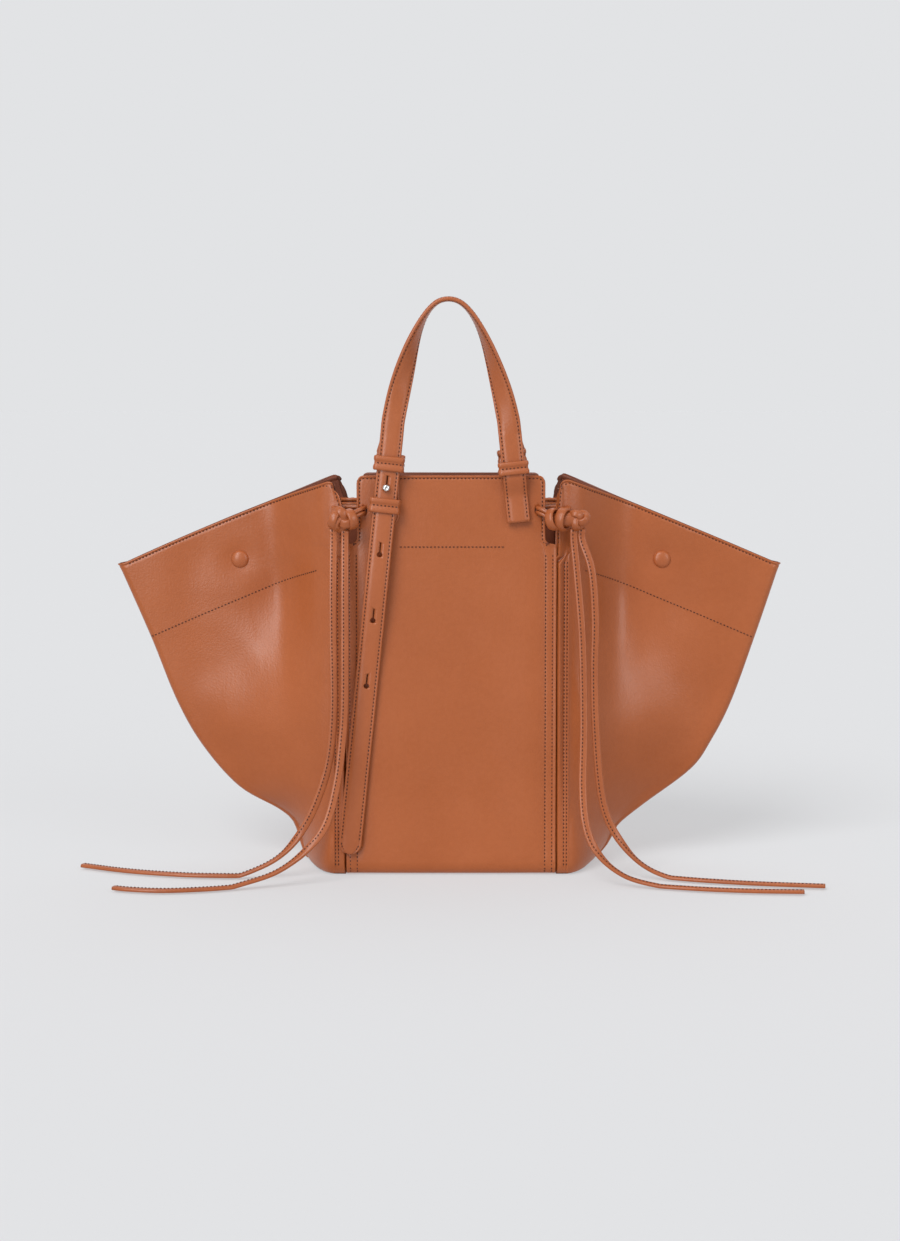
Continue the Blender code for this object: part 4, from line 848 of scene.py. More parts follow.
for hand, label in ((-1, "left"), (1, "right")):
    shares = [share for share in GUSSET_SHARES if FACING_SHARE - 0.001 <= share < FACING_LAST_SHARE]
    bm = lay(gusset_columns(FACING_REACH), shares, lambda column, share: gusset_place(hand, column, share))
    face_out(bm)
    sink(bm, WING_FACING_DEPTH)
    facing = link_piece(bm, f"{label}_wing_facing", [FACING_LEATHER_PAINTED_SHADE, EDGE_PAINT])
    thicken(facing, FACING_SKIN, 0.0)
    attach(facing, "bag")
    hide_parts(f"{label}_gusset_facing")
print("facings made")

# %% [markdown]
# The base is a flat sheet between the turned feet of the panels, pointed under each gusset. Its outline is
# the gusset's lowest section, so the two meet.

# %% The base
BASE_SKIN = 0.0024
BASE_INSET = 0.0020
BASE_END = 0.1205
BASE_GAP = 0.0003
BASE_POINT = 0.008
BASE_POINT_ROUND = 0.0081


def base_half_depth(x):
    """Half of the base's depth at a distance from the middle of the bag."""
    x = abs(x)
    if x < PANEL_LOW + 0.0005:
        return BASE_HALF - FOOT_RADIUS - FOOT_FLANGE - BASE_GAP
    return max(abs(wing_point(1, -1, 0.0, max(x + BASE_INSET, STRIP_START)).y) - BASE_INSET, 0.001)


def base_point(x, share):
    """Point of the base, whose two pointed ends are rounded off."""
    over = max(abs(x) - BASE_END + BASE_POINT, 0.0)
    end = math.sqrt(max(1 - (over / BASE_POINT_ROUND) ** 2, 0.0))
    return Vector((x, share * base_half_depth(x) * end, 0.0))


BASE_STATIONS = [0.0, 0.02, 0.04, 0.06, 0.08, 0.0870, 0.0878, 0.0900, 0.0972, 0.1010, 0.1050, 0.1090,
                 0.1115, 0.1135, 0.1150, 0.1165, 0.1180, 0.1192, 0.1200, BASE_END]
across = [-x for x in reversed(BASE_STATIONS[1:])] + BASE_STATIONS
bm = lay(across, [step / 6 - 1 for step in range(13)], base_point)
bmesh.ops.recalc_face_normals(bm, faces=bm.faces)
bm.normal_update()
if sum(face.normal.z for face in bm.faces) > 0:
    bmesh.ops.reverse_faces(bm, faces=bm.faces)
base = thicken(link_piece(bm, "base_leather", [LEATHER, EDGE_PAINT]), BASE_SKIN)
finish_node("base_board", BOARD_COVER)
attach(base, "bag")
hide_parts("base_panel")
print("base made")

# %% [markdown]
# A snap holds each wing shut. Its two outer caps are discs covered in the bag's leather: a low dome with a
# rounded rim, spun from a profile. The socket and the stud inside are turned metal and stay as the CAD has
# them.

# %% Snap caps
SNAP_CAP = [(0.0, 0.0036), (0.0025, 0.0035), (0.0045, 0.0031), (0.0060, 0.0025), (0.0070, 0.0016),
            (0.0074, 0.0008), (0.0073, 0.0), (0.0066, -0.0006)]
CAP_SINK = 0.0006


def spun(profile, matrix):
    """A (radius, height) profile spun about the matrix's Z axis."""
    bm = bmesh.new()
    verts = [bm.verts.new((radius, 0.0, height)) for radius, height in profile]
    edges = [bm.edges.new(pair) for pair in zip(verts, verts[1:])]
    bmesh.ops.spin(bm, geom=verts + edges, angle=2 * math.pi, steps=40, axis=(0, 0, 1), use_merge=True)
    bmesh.ops.remove_doubles(bm, verts=bm.verts, dist=1e-6)
    rim = [edge for edge in bm.edges if edge.is_boundary]
    if rim:
        bmesh.ops.holes_fill(bm, edges=rim)
    bmesh.ops.recalc_face_normals(bm, faces=bm.faces)
    bmesh.ops.transform(bm, matrix=matrix, verts=bm.verts)
    return bm


def outwards(place, out):
    """Frame at a place whose Z axis points along out."""
    turn = Vector((0.0, 0.0, 1.0)).rotation_difference(out).to_matrix().to_4x4()
    return Matrix.Translation(place) @ turn


for hand, label in ((-1, "left"), (1, "right")):
    for side, word in ((-1, "front"), (1, "back")):
        node = f"{label}_snap_{word}_cap"
        low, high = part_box(node)
        middle = (low + high) / 2
        face = FOLD_RADIUS + GUSSET_SKIN / 2 - CAP_SINK
        matrix = outwards(Vector((middle.x, side * face, middle.z)), Vector((0.0, side, 0.0)))
        name = node.replace("_cap", "_leather_cap")
        cap = link_piece(spun(SNAP_CAP, matrix), name, [STRAP_LEATHER])
        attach(cap, "bag")
        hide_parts(node)
    finish_node(f"{label}_snap_socket", STEEL)
    finish_node(f"{label}_snap_stud", STEEL)
print("snap caps made")

# %% [markdown]
# A handle is one strap of two layers with a filler between them, so its face is raised between two stitched
# edges. It starts at the rounded tail with the keyholes, passes its keepers, rises, turns on edge at the
# top of the arch and comes down to the sewn end. The same route as in the CAD carries it. The front handle
# stands up, and its strap is a single mesh. The rear one hangs folded over; its two ends are pieces of their
# own that stay with the bag, and the arch with its two folds is a third piece.

# %% Sizes of the handles
STRAP_WIDTH = 0.0190
STRAP_THICKNESS = 0.0042
STRAP_LEAN = math.radians(6.0)
STRAP_TOP_X = 0.0499
STRAP_TOP_Z = 0.3485
STRAP_OFFSET = 0.0075
STRAP_TAIL_LENGTH = 0.332
STRAP_END_LENGTH = 0.055
STRAP_REST = 0.0005
HANDLE_RISE = 0.1265
SIDE_POWER = 0.90
RISE_POWER = 1.68
HANDLE_SHIFT = 0.0020
BEND_RADIUS = 0.006
BEND_LENGTH = math.pi * BEND_RADIUS
UPPER_KEEPER_T = 0.0068
FREE_KEEPER_T = 0.0412
END_KEEPER_T = 0.0105
KEEPER_HEIGHT = 0.0120
STUD_T = 0.0266
KEYHOLE_SPACING = 0.0547
REAR_SPREAD = 0.0035
HANG_SPREAD = 0.0045
SEWN_GAP = 0.0003
TAIL_SINK_AFTER = 0.055
TAIL_SINK_LENGTH = 0.090
SEWN_SINK_LENGTH = 0.018


def panel_axes(side):
    """Outward normal of a panel, and the direction up along its face."""
    out = Vector((0.0, side * math.cos(PANEL_SLOPE), math.sin(PANEL_SLOPE)))
    up = Vector((0.0, -side * math.sin(PANEL_SLOPE), math.cos(PANEL_SLOPE)))
    return out, up


def leg_frame(side, lean_hand):
    """Frame of a strap leg: X down the strap, Y out of the bag, Z across."""
    out, up = panel_axes(side)
    down = Vector((lean_hand * math.sin(STRAP_LEAN), 0.0, 0.0)) - up * math.cos(STRAP_LEAN)
    matrix = Matrix((down, out, down.cross(out))).transposed().to_4x4()
    matrix.translation = (lean_hand * STRAP_TOP_X, side * face_distance(STRAP_TOP_Z), STRAP_TOP_Z)
    return matrix


def tail_distance(t):
    """Distance of the adjustable strap's middle from the panel, down its length."""
    start = FREE_KEEPER_T + TAIL_SINK_AFTER
    return lerp(STRAP_OFFSET, STRAP_REST + STRAP_THICKNESS / 2, smoothstep((t - start) / TAIL_SINK_LENGTH))


def sewn_distance(t):
    """Distance of the sewn end's middle from the panel: it comes down to it under its keeper."""
    start = END_KEEPER_T + KEEPER_HEIGHT / 2 + 0.0004
    return lerp(STRAP_OFFSET, SEWN_GAP + STRAP_THICKNESS / 2, smoothstep((t - start) / SEWN_SINK_LENGTH))


def hinge_point(side):
    """Middle of a handle's swing, as in the CAD."""
    out, up = panel_axes(side)
    top = leg_frame(side, 1).translation + out * (STRAP_OFFSET + BEND_RADIUS) + up * BEND_LENGTH / 2
    return Vector((0.0, top.y, top.z))


# %% The arch of a handle
TWIST_STARTS = {"adjustable": 0.24, "sewn": 0.10}
TWIST_POWERS = {"adjustable": 1.0, "sewn": 0.9}
TWIST_SOFTNESS = 0.6
FOOT_BLEND = 0.055
ARCH_STATIONS = 121


def arch_share(z):
    """Share of the handle's rise at a height."""
    return min(max((z - STRAP_TOP_Z) / HANDLE_RISE, 0.0), 1.0)


def arch_route(side):
    """Upright arch from left to right, in the vertical plane through its two feet."""
    reach = BEND_LENGTH / math.cos(STRAP_LEAN)
    foot = leg_frame(side, 1) @ Vector((-reach, STRAP_OFFSET, 0.0))
    shin = leg_frame(side, 1) @ Vector((-reach - 0.008, STRAP_OFFSET, 0.0))
    right = [foot.copy(), Vector((shin.x, foot.y, shin.z))]
    first, meet = [math.asin(arch_share(shin.z + above) ** (1 / RISE_POWER)) for above in (0.006, 0.0)]
    step_in = shin.x - STRAP_TOP_X * math.cos(meet) ** SIDE_POWER
    for step in range(10):
        angle = lerp(first, math.pi / 2, step / 9)
        z = STRAP_TOP_Z + HANDLE_RISE * math.sin(angle) ** RISE_POWER
        x = STRAP_TOP_X * max(math.cos(angle), 0.0) ** SIDE_POWER
        x += step_in * (1 - smoothstep((z - shin.z) / FOOT_BLEND))
        right.append(Vector((x, foot.y, z)))
    left = [Vector((-point.x, point.y, point.z)) for point in right]
    shift = side * HANDLE_SHIFT
    arch = left + right[-2::-1]
    arch = [point + Vector((shift * arch_share(point.z) ** 2, 0.0, 0.0)) for point in arch]
    return smooth_route(arch, ARCH_STATIONS)


def arch_twist(point, side):
    """Turn of the strap at a point of the arch: flat to the front at the legs, on edge at the top."""
    leg = "adjustable" if point.x * side > 0 else "sewn"
    share = max(arch_share(point.z) - TWIST_STARTS[leg], 0.0) / (1 - TWIST_STARTS[leg])
    return math.pi / 2 * min(lerp(share, smoothstep(share), TWIST_SOFTNESS) ** TWIST_POWERS[leg], 1.0)


def swing(side, angle):
    """Turn of a handle about its hinge, outwards and down."""
    centre = hinge_point(side)
    return Matrix.Translation(centre) @ Matrix.Rotation(-side * angle, 4, "X") @ Matrix.Translation(-centre)


# %% Straps from the legs over the bend
BEND_STATIONS = 15
SEWN_STATIONS = 27


def spread(side, hand, t):
    """The rear straps settle a little outwards above their studs, so the front handle hides them."""
    return Vector((hand * REAR_SPREAD * smoothstep((0.025 - t) / 0.030) if side > 0 else 0.0, 0.0, 0.0))


def leg_route(side, hand, stops, distance):
    """Points and faces down a leg, at lengths from its top."""
    matrix = leg_frame(side, hand)
    out = matrix.to_3x3() @ Vector((0.0, 1.0, 0.0))
    return [(matrix @ Vector((t, distance(t), 0.0)) + spread(side, hand, t), out) for t in stops]


def bend_route(side, hand, hang):
    """Points and faces of the stretch that flexes, from its low end up."""
    matrix = leg_frame(side, hand)
    out, up = panel_axes(side)
    low = matrix @ Vector((0.0, STRAP_OFFSET, 0.0))
    length = BEND_LENGTH / math.cos(STRAP_LEAN)
    stops = []
    for step in range(1, BEND_STATIONS + 1):
        t = length * step / (BEND_STATIONS + 1)
        straight = matrix @ Vector((-t, STRAP_OFFSET, 0.0)) + spread(side, hand, -t)
        if not hang:
            stops.append((straight, out))
            continue
        angle = (straight - low).dot(up) / BEND_LENGTH * hang
        bent = low + out * (BEND_RADIUS - BEND_RADIUS * math.cos(angle)) + up * BEND_RADIUS * math.sin(angle)
        stops.append((Vector((straight.x, bent.y, bent.z)), out * math.cos(angle) - up * math.sin(angle)))
    return stops


# %% The route of a whole handle
TAIL_STATIONS = 110
TIP_STATIONS = 12
TIP_STEP = 0.0008
TIP_START = 0.322


def arch_stops(side, hang):
    """Points and faces of the arch, twisted on edge at the top and swung to where the handle hangs."""
    stops = []
    arch = arch_route(side)
    if side > 0:
        arch = arch[::-1]
    turn = swing(side, hang)
    out = Vector((0.0, side, 0.0))
    for index, point in enumerate(arch):
        along = (arch[min(index + 1, len(arch) - 1)] - arch[max(index - 1, 0)]).normalized()
        away = along.cross(Vector((0.0, 1.0, 0.0))) * side
        twist = arch_twist(point, side)
        face = out * math.cos(twist) + away.normalized() * math.sin(twist)
        share = arch_share(point.z)
        aside = REAR_SPREAD + HANG_SPREAD * smoothstep(share / 0.08)
        aside *= 1 - smoothstep((share - 0.15) / 0.60)
        aside *= math.copysign(1, point.x)
        placed = turn @ point + Vector((aside if side > 0 else 0.0, 0.0, 0.0))
        stops.append((placed, turn.to_3x3() @ face))
    return stops


def handle_route(side, hang):
    """Points and faces of a whole handle, from the rounded tail to the sewn end."""
    tip = [STRAP_TAIL_LENGTH - step * TIP_STEP for step in range(TIP_STATIONS)]
    tail = [STRAP_TAIL_LENGTH * (1 - step / TAIL_STATIONS) for step in range(TAIL_STATIONS)]
    tail = tip + [t for t in tail if t < TIP_START] + [0.0]
    route = leg_route(side, side, tail, tail_distance)
    route += bend_route(side, side, hang)
    route += arch_stops(side, hang)
    route += bend_route(side, -side, hang)[::-1]
    sewn = [STRAP_END_LENGTH * step / (SEWN_STATIONS - 1) for step in range(SEWN_STATIONS)]
    route += leg_route(side, -side, sewn, sewn_distance)
    return [point for point, face in route], [face for point, face in route]


# %% [markdown]
# Cut across, the strap isn't a plain bar. Its edges are rounded, each stitch row lies in a channel, and the
# filler raises the face between the rows. That section, carried along the route, gives the strap its look
# from every side.

# %% Sections of the straps
EDGE_INSET = 0.0022
TAB_INSET = 0.0018
EDGE_ROUND = 0.0009
FACE_RISE = 0.0007
STRAP_CHANNEL = 0.00035


def padded_section(width, thickness, edge_stitch):
    """Section of a stitched strap: rounded edges, a stitch channel near each and a raised face between."""
    half = width / 2
    flat = thickness / 2 - FACE_RISE
    upper = []
    for step in range(5):
        angle = math.pi / 2 * step / 4
        upper.append((half - EDGE_ROUND + EDGE_ROUND * math.cos(angle), flat * math.sin(angle)))
    upper += [(half - edge_stitch + 0.0005, flat), (half - edge_stitch, flat - STRAP_CHANNEL),
              (half - edge_stitch - 0.0005, flat), (half - edge_stitch - 0.0016, thickness / 2 - 0.0002),
              (half * 0.35, thickness / 2)]
    front = upper + [(-x, y) for x, y in reversed(upper)]
    back = [(x, -y) for x, y in reversed(front[1:-1])]
    return front + back


def tip_widths(points, radius, half):
    """Width shares along a strap of half the given width whose first end is rounded in plan."""
    run, widths = 0.0, []
    for index, point in enumerate(points):
        if index:
            run += (point - points[index - 1]).length
        width = 1.0
        if run < radius:
            flat = 1 - radius / half
            width = flat + (1 - flat) * math.sqrt(max(1 - (1 - run / radius) ** 2, 0.0004))
        widths.append(width)
    return widths


# %% Keyholes
KEYHOLE_COUNT = 4
KEYHOLE_RADIUS = 0.0022
SLIT_LENGTH = 0.0078
SLIT_WIDTH = 0.0012
PEG_LENGTH = 0.012
SLIT_PEG_LENGTH = 0.013


def keyhole_peg(side, number):
    """A peg with the outline of a keyhole, across the strap."""
    t = STUD_T + number * KEYHOLE_SPACING
    bm = bmesh.new()
    bmesh.ops.create_cone(bm, cap_ends=True, segments=24, radius1=KEYHOLE_RADIUS, radius2=KEYHOLE_RADIUS,
                          depth=PEG_LENGTH)
    slit = bmesh.ops.create_cube(bm, size=1.0)["verts"]
    bmesh.ops.scale(bm, verts=slit, vec=(SLIT_LENGTH + KEYHOLE_RADIUS, SLIT_WIDTH, SLIT_PEG_LENGTH))
    bmesh.ops.translate(bm, verts=slit, vec=(-(SLIT_LENGTH + KEYHOLE_RADIUS) / 2, 0.0, 0.0))
    turn = Matrix(((1, 0, 0, 0), (0, 0, -1, 0), (0, 1, 0, 0), (0, 0, 0, 1)))
    place = leg_frame(side, side) @ Matrix.Translation((t, tail_distance(t), 0.0)) @ turn
    bmesh.ops.transform(bm, matrix=place, verts=bm.verts)
    return bm


def cut_keyholes(strap, side):
    """Cut the row of keyholes into the strap's tail."""
    cut_out(strap, [keyhole_peg(side, number) for number in range(KEYHOLE_COUNT)], crossing=True)


# %% A stretch of a handle
HANDLE_FRAMES = {}
HANDLE_DEPTHS = {}
HANG_TILT = math.radians(30.0)
BEND_CLEARANCE = 0.0007


def strap_piece(name, side, first, last, *nodes):
    """A stretch of a handle from one station to another, in place of some CAD nodes."""
    frames = HANDLE_FRAMES[side]
    widths = tip_widths([point for point, across, out in frames], STRAP_WIDTH / 2, STRAP_WIDTH / 2)
    section = padded_section(STRAP_WIDTH, STRAP_THICKNESS, EDGE_INSET)
    bm = wrap_section(frames[first:last], section, widths[first:last], HANDLE_DEPTHS[side][first:last])
    piece = link_piece(bm, name, [STRAP_LEATHER])
    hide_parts(*nodes)
    print(name, len(piece.data.polygons), "faces")
    return piece


def bend_line(side, hang):
    """Start and end of the stretch over which a strap goes over from the bag to the handle."""
    out, up = panel_axes(side)
    low = leg_frame(side, 1) @ Vector((0.0, STRAP_OFFSET, 0.0))
    if hang:
        over = out * math.cos(HANG_TILT) - up * math.sin(HANG_TILT)
        near, far = STRAP_THICKNESS / 2, 2 * BEND_RADIUS - STRAP_THICKNESS / 2
        start = low + over * (near * math.cos(HANG_TILT) + BEND_CLEARANCE)
        return start, low + over * far * math.cos(HANG_TILT)
    return low, low + up * BEND_LENGTH


def bend_over_hinge(piece, side, hang):
    """Bake a piece's place into its mesh; the start and end of its bend are worked out but not used."""
    start, end = bend_line(side, hang)
    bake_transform(piece)
    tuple(start)
    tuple(end)


# %% Lay the handles
PRESS_DEPTH = 0.45
PRESS_POWER = 0.7

for side, hang in ((-1, 0.0), (1, math.pi)):
    HANDLE_FRAMES[side] = stations_along(*handle_route(side, hang))
    HANDLE_DEPTHS[side] = [1.0] * len(HANDLE_FRAMES[side])
SEWN_FIRST = len(HANDLE_FRAMES[1]) - SEWN_STATIONS
TAIL_LAST = SEWN_FIRST - ARCH_STATIONS - 2 * BEND_STATIONS - 1
# The rear strap is pressed thinner where it is folded over.
for step in range(1, BEND_STATIONS + 1):
    pressed = 1 - PRESS_DEPTH * math.sin(math.pi * step / (BEND_STATIONS + 1)) ** PRESS_POWER
    HANDLE_DEPTHS[1][TAIL_LAST + step] = HANDLE_DEPTHS[1][SEWN_FIRST - step] = pressed

strap = strap_piece("front_handle_strap", -1, None, None, "front_handle", "front_strap_bend_adjustable",
                    "front_strap_bend_sewn", "front_strap_tail", "front_strap_end")
cut_keyholes(strap, -1)
bend_over_hinge(strap, -1, 0.0)

strap = strap_piece("rear_keyhole_strap", 1, None, TAIL_LAST + 1, "rear_strap_tail")
cut_keyholes(strap, 1)
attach(strap, "bag")
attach(strap_piece("rear_sewn_strap", 1, SEWN_FIRST, None, "rear_strap_end"), "bag")
strap = strap_piece("rear_handle_strap", 1, TAIL_LAST, SEWN_FIRST + 1, "rear_handle",
                    "rear_strap_bend_adjustable", "rear_strap_bend_sewn")
bend_over_hinge(strap, 1, math.pi)

# %% [markdown]
# Three keepers sit on each handle. Each is a short band, folded lengthwise so that its two long edges stand
# up as ridges with stitches between them, and closed into a ring round the strap.

# %% The band of a keeper
KEEPER_WIDTH = 0.0263
KEEPER_WALL = 0.0020
KEEPER_PLAY = 0.0008
KEEPER_HOLLOW = 0.46
RING_CORNER = 0.0014
# One edge of the band: share of the wall that it stands up, and distance from the edge.
KEEPER_RIDGE = [(0.35, 0.0), (0.70, 0.0003), (0.86, 0.0011), (0.92, 0.0022), (0.86, 0.0034), (0.70, 0.0041),
                (0.55, 0.0046)]


def band_section(height, wall):
    """Section of a keeper's band: (out, along) points with a ridge at each edge."""
    half = height / 2
    ridge = [(wall * share, step * height / KEEPER_HEIGHT - half) for share, step in KEEPER_RIDGE]
    outer = ridge + [(wall * KEEPER_HOLLOW, 0.0)] + [(x, -z) for x, z in reversed(ridge)]
    inner = [(0.0002, half - 0.0003), (0.0, 0.0), (0.0002, -half + 0.0003)]
    return outer + inner


def ring_outline(half_width, half_depth, radius, steps=6):
    """Rounded rectangle as (across, out, outward direction)."""
    points = []
    reach, rise = half_width - radius, half_depth - radius
    corners = (((reach, rise), 0), ((-reach, rise), 90), ((-reach, -rise), 180), ((reach, -rise), 270))
    for centre, start in corners:
        for step in range(steps + 1):
            angle = math.radians(start + 90 * step / steps)
            direction = (math.cos(angle), math.sin(angle))
            points.append((centre[0] + radius * direction[0], centre[1] + radius * direction[1], direction))
    return points


def keeper_ring(matrix, t, low, high, height):
    """A keeper at t down a leg, from low to high above the panel."""
    depth = high - low
    outline = ring_outline(KEEPER_WIDTH / 2 - KEEPER_WALL, depth / 2 - KEEPER_WALL, RING_CORNER)
    section = band_section(height, KEEPER_WALL)

    def place(spot, corner):
        across, out, direction = outline[corner % len(outline)]
        wall, along = section[spot % len(section)]
        rise = (low + high) / 2 + out + direction[1] * wall
        return matrix @ Vector((t + along, rise, across + direction[0] * wall * 0.85))

    bm = lay(list(range(len(section) + 1)), list(range(len(outline) + 1)), place)
    bmesh.ops.remove_doubles(bm, verts=bm.verts, dist=1e-7)
    bmesh.ops.recalc_face_normals(bm, faces=bm.faces)
    return bm


# %% Put the keepers on
KEEPER_ROWS = {}
RING_DEPTH = STRAP_THICKNESS + KEEPER_PLAY + 2 * KEEPER_WALL
UPPER_DEPTH = STRAP_OFFSET + STRAP_THICKNESS / 2 + KEEPER_PLAY + 2 * KEEPER_WALL
UPPER_MIDDLE = (STRAP_OFFSET + STRAP_THICKNESS / 2) / 2 + 0.0001
END_KEEPER_HEIGHT = KEEPER_HEIGHT - 0.0012
ROW_SINK = 0.54
ROW_WIDTH = 0.86

for side, label in ((-1, "front"), (1, "rear")):
    adjustable, sewn = leg_frame(side, side), leg_frame(side, -side)
    rings = [
        ("upper_keeper", adjustable, UPPER_KEEPER_T, UPPER_MIDDLE, UPPER_DEPTH, KEEPER_HEIGHT, "bag"),
        ("free_keeper", adjustable, FREE_KEEPER_T, STRAP_OFFSET, RING_DEPTH, KEEPER_HEIGHT,
         f"{label}_keeper"),
        ("end_keeper", sewn, END_KEEPER_T, STRAP_OFFSET, RING_DEPTH, END_KEEPER_HEIGHT, "bag")]
    for word, matrix, t, middle, depth, height, body in rings:
        matrix = Matrix.Translation(spread(side, side if matrix is adjustable else -side, t)) @ matrix
        bm = keeper_ring(matrix, t, middle - depth / 2, middle + depth / 2, height)
        ring = link_piece(bm, f"{label}_{word}_band", [STRAP_LEATHER])
        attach(ring, body)
        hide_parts(f"{label}_{word}")
        lift = middle + depth / 2 - KEEPER_WALL * ROW_SINK
        row = [matrix @ Vector((t, lift, (step / 10 - 0.5) * KEEPER_WIDTH * ROW_WIDTH)) for step in range(11)]
        KEEPER_ROWS[f"{label}_{word}_stitches"] = (row, matrix.col[1].xyz, body)
print("keepers made")

# %% [markdown]
# Under the adjustable strap lies the anchor tab that carries the ball stud. The stud is turned steel with a
# small hole in its face; the strap's keyholes are pushed over it.

# %% Anchor tabs
TAB_WIDTH = 0.0182
TAB_THICKNESS = 0.0024
TAB_BELOW = 0.0310
TAB_TOP_Z = 0.347
TAB_SHIFT = 0.0010
TAB_GAP = 0.0003


def tab_stops(side, stud):
    """Points up an anchor tab, close together at its rounded lower end."""
    out, up = panel_axes(side)
    foot = Vector((stud.x - side * TAB_SHIFT, stud.y, stud.z)) + out * (TAB_GAP + TAB_THICKNESS / 2)
    low = foot - up * TAB_BELOW
    points = [low + up * (0.0006 * step) for step in range(16)]
    rise = TAB_BELOW + (TAB_TOP_Z - stud.z)
    return points + [low + up * lerp(0.010, rise, step / 20) for step in range(21)]


# %% Ball studs
BALL_RADIUS = 0.0033
BALL_MIDDLE = STRAP_OFFSET + STRAP_THICKNESS / 2 + BALL_RADIUS * 0.8 - 0.0006
NECK_RADIUS = 0.0017
FLANGE_RADIUS = 0.0032
FLANGE_FOOT = 0.0027


def stud_profile():
    """(radius, height) profile of a ball stud: the hole in its face, the ball, the neck and the flange."""
    face = BALL_MIDDLE + BALL_RADIUS
    profile = [(0.0, face - 0.0024), (0.0009, face - 0.0023), (0.0011, face - 0.0004)]
    for step in range(1, 12):
        angle = math.pi * (0.12 + 0.70 * step / 11)
        profile.append((BALL_RADIUS * math.sin(angle), BALL_MIDDLE + BALL_RADIUS * math.cos(angle)))
    return profile + [(NECK_RADIUS, 0.0042), (NECK_RADIUS, 0.0034), (FLANGE_RADIUS, 0.0030),
                      (FLANGE_RADIUS, FLANGE_FOOT), (0.0, FLANGE_FOOT)]


# %% Put the tabs and studs on
for side, label in ((-1, "front"), (1, "rear")):
    stud = leg_frame(side, side) @ Vector((STUD_T, 0.0, 0.0))
    out = panel_axes(side)[0]
    points = tab_stops(side, stud)
    widths = tip_widths(points, TAB_WIDTH / 2 * 0.95, TAB_WIDTH / 2)
    frames = stations_along(points, [out] * len(points))
    bm = wrap_section(frames, padded_section(TAB_WIDTH, TAB_THICKNESS, TAB_INSET), widths)
    tab = link_piece(bm, f"{label}_stitched_tab", [STRAP_LEATHER])
    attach(tab, "bag")
    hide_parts(f"{label}_anchor_tab")
    ball = link_piece(spun(stud_profile(), outwards(stud, out)), f"{label}_steel_stud", [STEEL])
    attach(ball, "bag")
    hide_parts(f"{label}_ball_stud")
    finish_node(f"{label}_stud_screw", STEEL)
print("tabs and studs made")

# %% [markdown]
# At each top corner a tie pulls the notch together. Its loop comes through a hole in the panel, passes
# behind the notch and comes out through the wing; both strands meet in the knot. The knot is modelled as it
# is tied: bands of the same cord that wrap round the strands and over each other.

# %% Bands of a knot
BAND_STRETCH = 0.95
BAND_THICKNESS = 0.0034
BAND_STATIONS = 32
KNOT_STEPS = 14
KNOT_FLATNESS = 2.6


def closed_band(points, faces, width, thickness):
    """A ring of flat cord through the given points."""
    section = flat_section(width, thickness, KNOT_STEPS, KNOT_FLATNESS)
    return wrap_section(stations_along(points, faces, closed=True), section, closed=True)


def wrapped_band(middle, axis, up, radius, width):
    """A band of cord wrapped round an axis."""
    axis = axis.normalized()
    up = (up - axis * up.dot(axis)).normalized()
    other = axis.cross(up)
    points, faces = [], []
    for step in range(BAND_STATIONS):
        angle = 2 * math.pi * step / BAND_STATIONS
        out = up * math.cos(angle) + other * math.sin(angle) * BAND_STRETCH
        points.append(middle + out * radius)
        faces.append(up * math.cos(angle) * BAND_STRETCH + other * math.sin(angle))
    return closed_band(points, faces, width, BAND_THICKNESS)


# %% Head of a knot
HEAD_STATIONS = 72
HEAD_OVER = 0.0019
HEAD_BOW = 0.00016
HEAD_LEAN = 0.28


def knot_head(middle, front, across, size, width, turned):
    """An overhand knot seen from the front: three lobes of flat cord that go over and under each other."""
    up = across.cross(front)
    points, faces = [], []
    for step in range(HEAD_STATIONS):
        t = 2 * math.pi * step / HEAD_STATIONS
        a, b = math.sin(t) + 2 * math.sin(2 * t), math.cos(t) - 2 * math.cos(2 * t)
        a, b = a * math.cos(turned) - b * math.sin(turned), a * math.sin(turned) + b * math.cos(turned)
        away = across * a + up * b
        back = math.sin(3 * t) * HEAD_OVER + away.length ** 2 * HEAD_BOW
        points.append(middle + away * size - front * back)
        faces.append(front + away * HEAD_LEAN)
    return closed_band(points, faces, width, CORD_THICKNESS)


# %% Loop of a tie through panel and wing
KNOT_Z = 0.297
KNOT_Y = 0.0625
NOTCH_MIDDLE_X = 0.0858
STRAND_WIDTH = 0.0044
STRAND_FLATNESS = 2.4
STRAND_LIFTS = (-0.0016, 0.0020)


